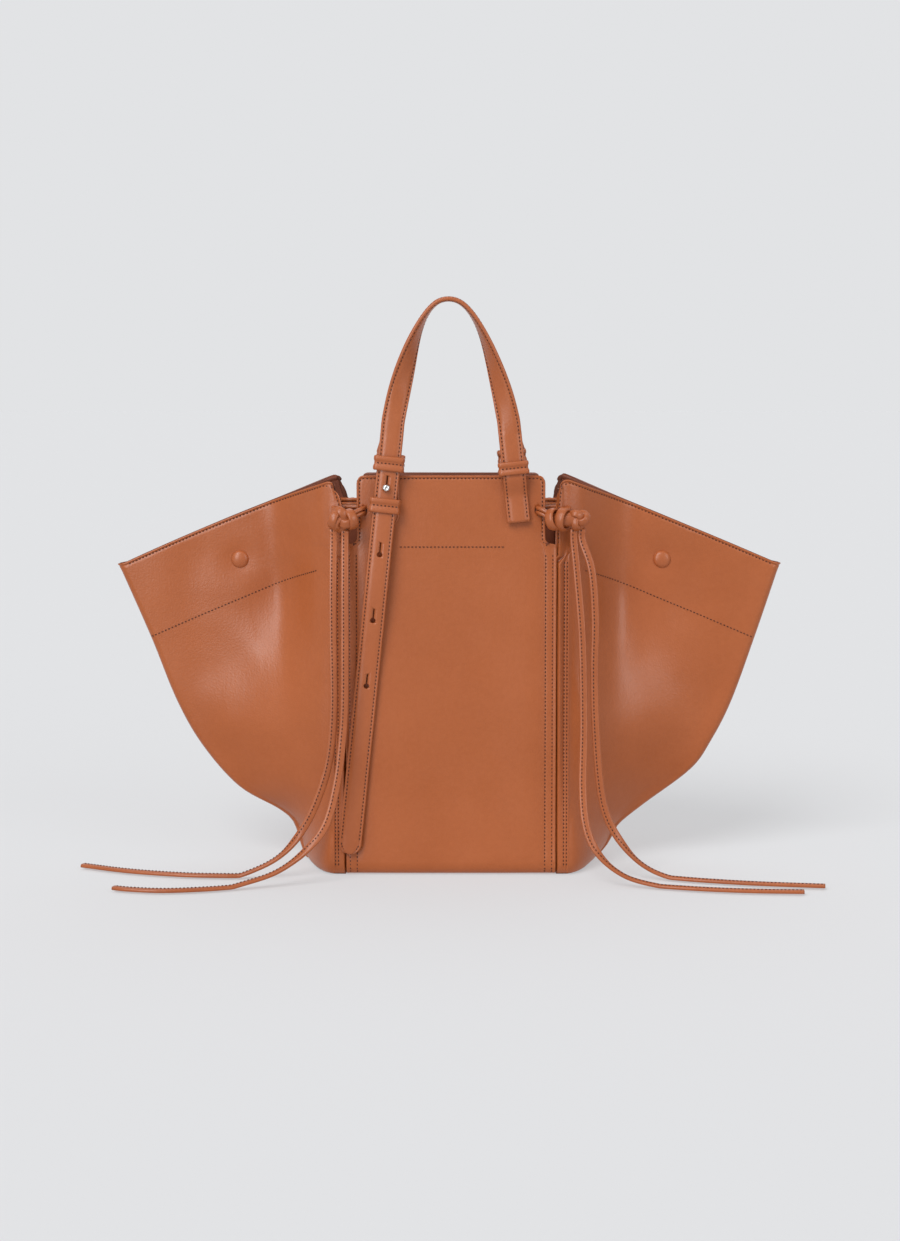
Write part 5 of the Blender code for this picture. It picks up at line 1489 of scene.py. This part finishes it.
def tie_loop(hand, side):
    """Both strands of a tie, one above the other, from the knot through the two holes and back to it."""
    face = face_distance(HOLE_Z)
    loop = [
        (PANEL_HOLE_X + 0.0160, KNOT_Y - 0.0005, KNOT_Z + 0.0010),
        (PANEL_HOLE_X + 0.0090, face + 0.0066, HOLE_Z - 0.0038),
        (PANEL_HOLE_X + 0.0022, face + 0.0034, HOLE_Z - 0.0006), (PANEL_HOLE_X, face - 0.0010, HOLE_Z),
        (PANEL_HOLE_X + 0.0012, face - 0.0066, HOLE_Z), (PANEL_HOLE_X + 0.0060, face - 0.0104, HOLE_Z),
        (NOTCH_MIDDLE_X, face - 0.0116, HOLE_Z), (WING_HOLE_X - 0.0060, face - 0.0106, HOLE_Z),
        (WING_HOLE_X - 0.0006, face - 0.0070, HOLE_Z), (WING_HOLE_X, face - 0.0020, HOLE_Z),
        (WING_HOLE_X - 0.0004, face + 0.0035, HOLE_Z - 0.0010),
        (WING_HOLE_X - 0.0040, KNOT_Y - 0.0010, KNOT_Z + 0.0010)]
    section = flat_section(STRAND_WIDTH, BAND_THICKNESS, KNOT_STEPS, STRAND_FLATNESS)
    strands = []
    for lift in STRAND_LIFTS:
        points = smooth_route([(hand * a, side * b, c + lift) for a, b, c in loop], 64)
        strands.append(wrap_section(stations_along(points, [Vector((0.0, 0.0, 1.0))] * len(points)), section))
    return strands


# %% Tie the knots
KNOTS = {"front_left": (-1, -0.0890), "front_right": (-1, 0.0950), "back_left": (1, -0.0925),
         "back_right": (1, 0.0925)}
# Each band: offset outwards, radius, slant to the front, tilt, width. Each head: offset, size, width, turn.
# Each core: half its size across, out and up.
KNOT_BANDS = {"round": [(-0.0066, 0.0072, 0.50, -0.30, 0.0076), (0.0052, 0.0068, -0.35, 0.30, 0.0074)],
              "long": [(-0.0112, 0.0076, 0.60, 0.20, 0.0074), (-0.0034, 0.0082, 0.50, -0.12, 0.0078)]}
KNOT_HEADS = {"round": (0.0000, 0.0029, 0.0074, 0.5), "long": (0.0092, 0.00245, 0.0062, 1.1)}
KNOT_CORES = {"round": (0.0090, 0.0056, 0.0060), "long": (0.0150, 0.0056, 0.0060)}
HEAD_FORWARD = 0.0034


def merged(parts):
    """One bmesh of several."""
    whole = bmesh.new()
    for part in parts:
        mesh = bpy.data.meshes.new("part")
        part.to_mesh(mesh)
        part.free()
        whole.from_mesh(mesh)
        bpy.data.meshes.remove(mesh)
    return whole


for label, (side, x) in KNOTS.items():
    hand = math.copysign(1, x)
    middle = Vector((x, side * KNOT_Y, KNOT_Z))
    across, front, up = Vector((hand, 0.0, 0.0)), Vector((0.0, side, 0.0)), Vector((0.0, 0.0, 1.0))
    parts = tie_loop(hand, side)
    kind = "long" if label == "front_right" else "round"
    core = bmesh.new()
    stretched = Matrix.Translation(middle) @ Matrix.Diagonal((*KNOT_CORES[kind], 1.0))
    bmesh.ops.create_uvsphere(core, u_segments=24, v_segments=14, radius=1.0, matrix=stretched)
    parts.append(core)
    for offset, radius, slant, tilt, width in KNOT_BANDS[kind]:
        axis = across * math.cos(slant) + front * math.sin(slant) + up * tilt
        parts.append(wrapped_band(middle + across * offset, axis, up, radius, width))
    offset, size, width, turned = KNOT_HEADS[kind]
    head_middle = middle + across * offset + front * HEAD_FORWARD
    parts.append(knot_head(head_middle, front, across, size, width, turned))
    knot = link_piece(merged(parts), f"{label}_knot", [CORD_LEATHER])
    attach(knot, "bag")
    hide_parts(f"{label}_tie_knot")
print("knots made")

# %% [markdown]
# Stitches hold all of it together, and they are what tells the eye how big the bag is. Each is a small
# grain of thread, laid along a row of points on its sheet, with a gap to the next one.

# %% A row of stitches
STITCH_PITCH = 0.0031
STITCH_LENGTH = 0.0020
STITCH_WIDTH = 0.00105
STITCH_FLATNESS = 0.42
STITCH_LIFT = 0.00028
STITCH_FACES = 20


def sew(rows, points, faces, pitch=STITCH_PITCH):
    """Add a row of grains of thread along points to rows; faces is one way or a way for each point."""
    if isinstance(faces, Vector):
        faces = [faces] * len(points)
    bm = bmesh.new()
    run = [0.0]
    for first, second in zip(points, points[1:]):
        run.append(run[-1] + (second - first).length)
    count = int(run[-1] / pitch)
    index = 0
    for number in range(count):
        wanted = (number + 0.5) * pitch
        while index < len(points) - 2 and run[index + 1] < wanted:
            index += 1
        share = (wanted - run[index]) / (run[index + 1] - run[index])
        along = (points[index + 1] - points[index]).normalized()
        face = faces[index]
        across = along.cross(face).normalized()
        out = across.cross(along)
        place = points[index].lerp(points[index + 1], share) + out * STITCH_LIFT
        axes = Matrix((along * STITCH_LENGTH / 2, across * STITCH_WIDTH / 2,
                       out * STITCH_WIDTH * STITCH_FLATNESS))
        matrix = Matrix.Translation(place) @ axes.transposed().to_4x4()
        bmesh.ops.create_icosphere(bm, subdivisions=1, radius=1.0, matrix=matrix)
    rows.append(bm)


def sew_piece(name, rows):
    """One piece of thread from rows of stitches."""
    piece = link_piece(merged(rows), name, [THREAD])
    print(name, len(piece.data.polygons) // STITCH_FACES, "stitches")
    return piece


# %% Stitches of the panels
FACING_ROW_START = -0.0427
FACING_ROW_LENGTH = 0.0895
FACING_ROW_Z = 0.2734


def panel_top_row(side):
    """The row that follows a panel's edge from one notch over the top to the other, as (x, height) points."""
    top = panel_heights_top(side)
    shoulder, corner = NOTCH_Z + NOTCH_RADIUS, top - CORNER_RADIUS
    half = arc((PANEL_TOP + NOTCH_RADIUS, shoulder), NOTCH_RADIUS + EDGE_STITCH, 250, 180, 6)
    half += [(PANEL_TOP - EDGE_STITCH, lerp(shoulder, corner, step / 10)) for step in range(1, 10)]
    half += arc((PANEL_TOP - CORNER_RADIUS, corner), CORNER_RADIUS - EDGE_STITCH, 0, 90, 6)
    half += [(lerp(PANEL_TOP - CORNER_RADIUS, 0.0, step / 10), top - EDGE_STITCH) for step in range(1, 11)]
    return half + [(-x, z) for x, z in reversed(half[:-1])]


for side, label in ((-1, "front"), (1, "back")):
    rows = []
    out = Vector((0.0, side, 0.0))
    for hand in (-1, 1):
        for inset in SEAM_STITCHES:
            low = [0.001 + (NOTCH_Z - 0.008) * step / 60 for step in range(61)]
            sew(rows, [panel_point(side, hand * (PANEL_LOW - inset), z, -CHANNEL_DEPTH) for z in low], out)
    sew(rows, [panel_point(side, x, z, -CHANNEL_DEPTH) for x, z in panel_top_row(side)], out)
    stops = [FACING_ROW_START + FACING_ROW_LENGTH * step / 20 for step in range(21)]
    sew(rows, [panel_point(side, x, FACING_ROW_Z) for x in stops], out)
    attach(sew_piece(f"{label}_panel_stitches", rows), "bag")

# %% Rows on the wings
WING_HEIGHT = WING_CORNER_Z - GUSSET_FOOT
ROW_CORNER = 0.0042
ROW_EDGE_LOW = 0.276
ROW_EDGE_TOP = 0.3215
ROW_FACING_X = 0.111
ROW_FOLD_TURN = 9


def wing_top_row(hand, side):
    """Points of the row under a wing's open edge."""
    start = inner_edge(hand, side, WING_CORNER_Z) + ROW_CORNER
    last = fold_point(hand, 0.99)[0] - FOLD_RADIUS
    points = []
    for step in range(61):
        x = lerp(start, last, step / 60)
        point = wing_point(hand, side, 1 - EDGE_STITCH / WING_HEIGHT, x, -CHANNEL_DEPTH)
        point.z -= corner_drop(hand, side, x - EDGE_STITCH)
        points.append(point)
    return points


def wing_edge_row(hand, side):
    """Points of the row beside a wing's upright edge in the notch."""
    points = []
    for step in range(25):
        z = lerp(ROW_EDGE_LOW, ROW_EDGE_TOP, step / 24)
        x = inner_edge(hand, side, z) + EDGE_STITCH
        points.append(wing_point(hand, side, (z - GUSSET_FOOT) / WING_HEIGHT, x, -CHANNEL_DEPTH))
    return points


def wing_facing_row(hand, side):
    """Points and faces of the row that holds a wing's facing, which runs on round the fold."""
    level = FACING_SHARE - 0.004
    last = fold_point(hand, level)[0] - fold_nose(level)
    points = [wing_point(hand, side, level, lerp(ROW_FACING_X, last, step / 60)) for step in range(61)]
    faces = [Vector((0.0, side, 0.0))] * len(points)
    end, radius = points[-1], fold_nose(level) + GUSSET_SKIN / 2
    fall = (points[-1].z - points[-9].z) / abs(points[-1].x - points[-9].x)
    for step in range(1, 6):
        angle = math.radians(ROW_FOLD_TURN * step)
        reach = radius * math.sin(angle)
        points.append(Vector((hand * (last + reach), end.y * math.cos(angle), end.z + fall * reach)))
        faces.append(Vector((hand * math.sin(angle), side * math.cos(angle), 0.0)))
    return points, faces


# %% Stitches of the wings
for hand, label in ((-1, "left"), (1, "right")):
    rows = []
    for side in (-1, 1):
        out = Vector((0.0, side, 0.0))
        shares = [0.02 + 0.78 * step / 60 for step in range(61)]
        for x in STRIP_STITCHES:
            sew(rows, [wing_point(hand, side, share, x, -CHANNEL_DEPTH) for share in shares], out)
        sew(rows, wing_top_row(hand, side), out)
        sew(rows, wing_edge_row(hand, side), out)
        sew(rows, *wing_facing_row(hand, side))
    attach(sew_piece(f"{label}_wing_stitches", rows), "bag")

# %% Rows on the straps
STRAP_REACH = STRAP_WIDTH / 2 - EDGE_INSET
STRAP_LIFT = STRAP_THICKNESS / 2 - 0.00098
TIP_PITCH = 0.0024


def edge_rows(side, first, last):
    """Stitch rows near both edges, on both faces of a stretch of strap."""
    rows = []
    stops = list(zip(HANDLE_FRAMES[side], HANDLE_DEPTHS[side]))[first:last]
    for edge in (-1, 1):
        for over in (-1, 1):
            points = [point + across * edge * STRAP_REACH + out * STRAP_LIFT * over * deep
                      for (point, across, out), deep in stops]
            sew(rows, points, [out * over for (point, across, out), deep in stops])
    return rows


def tip_row(leg):
    """Points of the half round of stitches at a strap's rounded tail."""
    middle = STRAP_TAIL_LENGTH - STRAP_WIDTH / 2
    rise = tail_distance(middle) + STRAP_LIFT
    points = []
    for step in range(13):
        angle = math.pi * step / 12
        aside, along = STRAP_REACH * math.cos(angle), STRAP_REACH * math.sin(angle)
        points.append(leg @ Vector((middle + along, rise, aside)))
    return points


def end_row(leg):
    """Points of the row across a strap's sewn end."""
    t = STRAP_END_LENGTH - EDGE_INSET
    rise = sewn_distance(t) + STRAP_LIFT
    return [leg @ Vector((t, rise, STRAP_REACH * (1 - step / 3))) for step in range(7)]


# %% Stitches of the straps
for side, label, hang in ((-1, "front", 0.0), (1, "rear", math.pi)):
    if hang:
        rows = edge_rows(side, TIP_STATIONS, TAIL_LAST + 1) + edge_rows(side, SEWN_FIRST, -1)
    else:
        rows = edge_rows(side, TIP_STATIONS, -1)
    tail, end = leg_frame(side, side), leg_frame(side, -side)
    sew(rows, tip_row(tail), tail.col[1].xyz, TIP_PITCH)
    sew(rows, end_row(end), end.col[1].xyz)
    stitches = sew_piece(f"{label}_strap_stitches", rows)
    if hang:
        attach(stitches, "bag")
        arch_rows = edge_rows(side, TAIL_LAST, SEWN_FIRST + 1)
        bend_over_hinge(sew_piece(f"{label}_handle_stitches", arch_rows), side, hang)
    else:
        bend_over_hinge(stitches, side, hang)

# %% Stitches of the keepers
for name, (points, face, body) in KEEPER_ROWS.items():
    rows = []
    sew(rows, points, face)
    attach(sew_piece(name, rows), body)

# %% Stitches of the cords
CORD_ROW_ASIDE = 0.0009
CORD_ROW_LIFT = CORD_THICKNESS / 2 - 0.0001

rows = []
for frames in CORD_PATHS.values():
    points = [point + across * CORD_ROW_ASIDE + out * CORD_ROW_LIFT for point, across, out in frames]
    sew(rows, points, [out for point, across, out in frames])
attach(sew_piece("cord_stitches", rows), "bag")

# %% [markdown]
# The bag's smooth leather is a calm tan with a slow change of tone, a fine grain that only shows in the
# highlights, and a soft shine. Grain and tone are node groups, because every leather piece of the bag uses
# them at its own scale.


# %% Helpers for node trees
def new_group(name, inputs, outputs):
    """A node group with its sockets, as (group, input node, output node)."""
    group = bpy.data.node_groups.new(name, "ShaderNodeTree")
    for title, kind, value in inputs:
        socket = group.interface.new_socket(name=title, in_out="INPUT", socket_type=kind)
        if value is not None:
            socket.default_value = value
    for title, kind in outputs:
        group.interface.new_socket(name=title, in_out="OUTPUT", socket_type=kind)
    return group, group.nodes.new("NodeGroupInput"), group.nodes.new("NodeGroupOutput")


def math_node(tree, operation, first, second, clamp=False):
    """Output of a calculation with two values or sockets."""
    node = tree.nodes.new("ShaderNodeMath")
    node.operation = operation
    node.use_clamp = clamp
    for index, value in enumerate((first, second)):
        if isinstance(value, (int, float)):
            node.inputs[index].default_value = value
        else:
            tree.links.new(value, node.inputs[index])
    return node.outputs[0]


def noise_node(tree, vector, scale, detail=2.0, roughness=0.5):
    """Output of a noise pattern, whose scale is a value or a socket."""
    node = tree.nodes.new("ShaderNodeTexNoise")
    node.inputs["Detail"].default_value = detail
    node.inputs["Roughness"].default_value = roughness
    tree.links.new(vector, node.inputs["Vector"])
    if isinstance(scale, (int, float)):
        node.inputs["Scale"].default_value = scale
    else:
        tree.links.new(scale, node.inputs["Scale"])
    return node.outputs["Fac"]


# %% Grain of the leather
PULL_STRETCH = 0.12
PULL_SCALE = 260.0


def build_grain():
    """Leather grain: small pebbles, pores and faint upright pull lines, as one height."""
    group, source, result = new_group("leather_grain", [
        ("Vector", "NodeSocketVector", None), ("Scale", "NodeSocketFloat", 900.0),
        ("Pull", "NodeSocketFloat", 0.4)], [("Height", "NodeSocketFloat")])
    vector = source.outputs["Vector"]
    pebble = group.nodes.new("ShaderNodeTexVoronoi")
    pebble.feature = "SMOOTH_F1"
    group.links.new(vector, pebble.inputs["Vector"])
    group.links.new(source.outputs["Scale"], pebble.inputs["Scale"])
    fine = noise_node(group, vector, math_node(group, "MULTIPLY", source.outputs["Scale"], 0.6), 3.0, 0.6)
    stretched = group.nodes.new("ShaderNodeMapping")
    stretched.inputs["Scale"].default_value = (1.0, 1.0, PULL_STRETCH)
    group.links.new(vector, stretched.inputs["Vector"])
    pull = noise_node(group, stretched.outputs[0], PULL_SCALE, 2.0)
    height = math_node(group, "ADD", math_node(group, "MULTIPLY", pebble.outputs["Distance"], 0.5),
                       math_node(group, "MULTIPLY", fine, 0.5))
    height = math_node(group, "ADD", height, math_node(group, "MULTIPLY", pull, source.outputs["Pull"]))
    group.links.new(height, result.inputs["Height"])
    return group


GRAIN = build_grain()
print("node group:", GRAIN.name)


# %% Tone of the leather
TONE_SCALE = 14.0
MOTTLE_SCALE = 240.0
TONE_CONTRAST = 2.2


def build_tone():
    """Leather tone: a slow change between a light and a dark shade, with fine mottling."""
    group, source, result = new_group("leather_tone", [
        ("Vector", "NodeSocketVector", None), ("Light", "NodeSocketColor", (0.47, 0.14, 0.06, 1.0)),
        ("Dark", "NodeSocketColor", (0.38, 0.10, 0.04, 1.0))], [("Color", "NodeSocketColor")])
    slow = noise_node(group, source.outputs["Vector"], TONE_SCALE, 2.0)
    mottle = noise_node(group, source.outputs["Vector"], MOTTLE_SCALE, 3.0)
    slow, mottle = math_node(group, "MULTIPLY", slow, 0.75), math_node(group, "MULTIPLY", mottle, 0.35)
    share = math_node(group, "SUBTRACT", math_node(group, "ADD", slow, mottle), 0.35)
    mix = group.nodes.new("ShaderNodeMix")
    mix.data_type = "RGBA"
    group.links.new(math_node(group, "MULTIPLY", share, TONE_CONTRAST, True), mix.inputs["Factor"])
    group.links.new(source.outputs["Dark"], mix.inputs[6])
    group.links.new(source.outputs["Light"], mix.inputs[7])
    group.links.new(mix.outputs[2], result.inputs["Color"])
    return group


TONE = build_tone()
print("node group:", TONE.name)


# %% A leather finish from the two groups
BUMP_STRENGTH = 0.6
GLOSS = 0.32
PATCH_SCALE = 45.0
PATCH_ROUGHNESS = 0.12


def leather_nodes(material, light, dark, roughness, grain, depth, pull=0.4):
    """Fill a material with the leather groups at its own shades, roughness, grain scale and depth."""
    material.use_nodes = True
    tree = material.node_tree
    shader = tree.nodes["Principled BSDF"]
    place = tree.nodes.new("ShaderNodeTexCoord").outputs["Object"]
    tone = tree.nodes.new("ShaderNodeGroup")
    tone.node_tree = TONE
    tone.inputs["Light"].default_value = (*light, 1.0)
    tone.inputs["Dark"].default_value = (*dark, 1.0)
    tree.links.new(place, tone.inputs["Vector"])
    tree.links.new(tone.outputs["Color"], shader.inputs["Base Color"])
    height = tree.nodes.new("ShaderNodeGroup")
    height.node_tree = GRAIN
    height.inputs["Scale"].default_value = grain
    height.inputs["Pull"].default_value = pull
    tree.links.new(place, height.inputs["Vector"])
    bump = tree.nodes.new("ShaderNodeBump")
    bump.inputs["Strength"].default_value = BUMP_STRENGTH
    bump.inputs["Distance"].default_value = depth
    tree.links.new(height.outputs["Height"], bump.inputs["Height"])
    tree.links.new(bump.outputs["Normal"], shader.inputs["Normal"])
    patches = math_node(tree, "MULTIPLY", noise_node(tree, place, PATCH_SCALE, 3.0), PATCH_ROUGHNESS)
    rough = math_node(tree, "ADD", roughness - PATCH_ROUGHNESS / 2, patches)
    tree.links.new(rough, shader.inputs["Roughness"])
    shader.inputs["Specular IOR Level"].default_value = GLOSS


# %% [markdown]
# The shades come from the photograph: the panels and wings are the warm tan, the straps and cords a touch
# lighter, the painted edges and the thread dark brown. Inside, the facing and the flesh side of the leather
# are given a darker brown, which is painted shade for the inside of the bag; the flesh side is also dull.

# %% Fill the leather finishes
leather_nodes(LEATHER, (0.440, 0.118, 0.034), (0.385, 0.097, 0.024), 0.37, 720.0, 0.00030)
leather_nodes(STRAP_LEATHER, (0.450, 0.125, 0.040), (0.39, 0.100, 0.028), 0.36, 760.0, 0.00020)
leather_nodes(CORD_LEATHER, (0.450, 0.125, 0.040), (0.35, 0.090, 0.026), 0.35, 800.0, 0.00020, pull=0.8)
leather_nodes(EDGE_PAINT, (0.24, 0.062, 0.026), (0.18, 0.045, 0.020), 0.38, 700.0, 0.00005)
# Flesh side and facing: a darker brown that is painted shade inside the bag; the flesh side is also dull.
leather_nodes(FLESH_SIDE_PAINTED_SHADE, (0.200, 0.065, 0.034), (0.140, 0.042, 0.022), 0.85, 500.0, 0.0003)
leather_nodes(FACING_LEATHER_PAINTED_SHADE, (0.250, 0.070, 0.034), (0.200, 0.052, 0.024), 0.50, 720.0, 0.0002)
leather_nodes(BOARD_COVER, (0.17, 0.070, 0.040), (0.13, 0.050, 0.030), 0.80, 600.0, 0.0002)
leather_nodes(THREAD, (0.085, 0.020, 0.008), (0.065, 0.014, 0.006), 0.60, 2600.0, 0.00008)
print("leather finishes filled")

# %% Polished steel
STEEL_COLOUR = (0.62, 0.61, 0.60, 1.0)
STEEL_ROUGHNESS = 0.10

STEEL.use_nodes = True
tree = STEEL.node_tree
steel_shader = tree.nodes["Principled BSDF"]
steel_shader.inputs["Base Color"].default_value = STEEL_COLOUR
steel_shader.inputs["Metallic"].default_value = 1.0
place = tree.nodes.new("ShaderNodeTexCoord").outputs["Object"]
smears = math_node(tree, "MULTIPLY", noise_node(tree, place, 600.0, 3.0), 0.12)
tree.links.new(math_node(tree, "ADD", STEEL_ROUGHNESS, smears), steel_shader.inputs["Roughness"])
print("steel filled")

# %% [markdown]
# The bag stands on a plain pale floor that runs into a pale background of the same tone. The floor gets
# about half of that tone from its own glow, because the lamps alone would leave it darker than the
# background, and it keeps the soft shadow.

# %% The floor
PALE = (0.760, 0.768, 0.783, 1.0)
FLOOR_COLOUR = (0.339, 0.342, 0.350, 1.0)
FLOOR_GLOW = 0.55
FLOOR_DROP = 0.0002
FLOOR_SIZE = 12.0

bm = bmesh.new()
bmesh.ops.create_grid(bm, x_segments=2, y_segments=2, size=FLOOR_SIZE)
bmesh.ops.translate(bm, verts=bm.verts, vec=(0.0, 0.0, -FLOOR_DROP))
floor_mesh = bpy.data.meshes.new("floor")
bm.to_mesh(floor_mesh)
bm.free()
floor = bpy.data.objects.new("floor", floor_mesh)
scene.collection.objects.link(floor)
floor_finish = bpy.data.materials.new("pale_floor")
floor_finish.use_nodes = True
floor_shader = floor_finish.node_tree.nodes["Principled BSDF"]
floor_shader.inputs["Base Color"].default_value = FLOOR_COLOUR
floor_shader.inputs["Emission Color"].default_value = PALE
floor_shader.inputs["Emission Strength"].default_value = FLOOR_GLOW
floor_shader.inputs["Roughness"].default_value = 0.9
floor_shader.inputs["Specular IOR Level"].default_value = 0.0
floor_mesh.materials.append(floor_finish)
floor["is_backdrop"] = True
print("floor laid")

# %% [markdown]
# The background's pale tone is given to camera, glossy and transmission rays alone, so that it doesn't tint
# the leather. All other rays get a weak white light, which fills the shadows.

# %% The background
SKY_STRENGTH = 0.40

world = bpy.data.worlds.new("studio")
scene.world = world
world.use_nodes = True
sky = world.node_tree
plain = sky.nodes["Background"]
plain.inputs["Color"].default_value = (1.0, 1.0, 1.0, 1.0)
plain.inputs["Strength"].default_value = SKY_STRENGTH
backdrop = sky.nodes.new("ShaderNodeBackground")
backdrop.inputs["Color"].default_value = PALE
rays = sky.nodes.new("ShaderNodeLightPath")
seen = math_node(sky, "MAXIMUM", rays.outputs["Is Camera Ray"], rays.outputs["Is Transmission Ray"])
seen = math_node(sky, "MAXIMUM", seen, rays.outputs["Is Glossy Ray"])
blend = sky.nodes.new("ShaderNodeMixShader")
sky.links.new(seen, blend.inputs[0])
sky.links.new(plain.outputs[0], blend.inputs[1])
sky.links.new(backdrop.outputs[0], blend.inputs[2])
sky.links.new(blend.outputs[0], sky.nodes["World Output"].inputs["Surface"])
print("background:", world.name)

# %% [markdown]
# Three broad lamps light the bag: a key from the upper left, a weaker fill from the right and one from
# above and behind for the edges. Two soft boxes beside the camera shine in the leather's gloss alone.

# %% The lamps
GLOSS_AIM = Vector((0.0, 0.0, 0.2))
# Each sun: where it shines from, its strength and its spread in degrees.
SUNS = {"key": ((-0.50, -0.85, 0.95), 1.95, 32), "fill": ((0.80, -0.75, 0.50), 0.35, 40),
        "above": ((0.10, 0.60, 1.0), 0.50, 50)}
for name, (direction, strength, spread_angle) in SUNS.items():
    data = bpy.data.lights.new(name, "SUN")
    data.energy = strength
    data.angle = math.radians(spread_angle)
    lamp = bpy.data.objects.new(name, data)
    lamp.rotation_euler = Vector(direction).to_track_quat("Z", "Y").to_euler()
    scene.collection.objects.link(lamp)

# Each soft box: its place, its two sides and its power.
BOXES = {"left_box": ((-1.05, -1.95, 0.75), (0.55, 1.1), 26.0),
         "right_box": ((1.5, -1.6, 0.8), (0.4, 1.1), 12.0)}
for name, (place, size, power) in BOXES.items():
    data = bpy.data.lights.new(name, "AREA")
    data.shape = "RECTANGLE"
    data.size, data.size_y = size
    data.energy = power
    lamp = bpy.data.objects.new(name, data)
    lamp.location = place
    lamp.rotation_euler = (Vector(place) - GLOSS_AIM).to_track_quat("Z", "Y").to_euler()
    lamp.visible_diffuse = False
    scene.collection.objects.link(lamp)

scene.view_settings.view_transform = "Standard"

# %% [markdown]
# The last cell prints the box of the dressed bag, in millimetres.

# %% Sizes and the end
low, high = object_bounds()
print("visual box in mm:", [round(value * 1000, 1) for value in (*low, *high)])
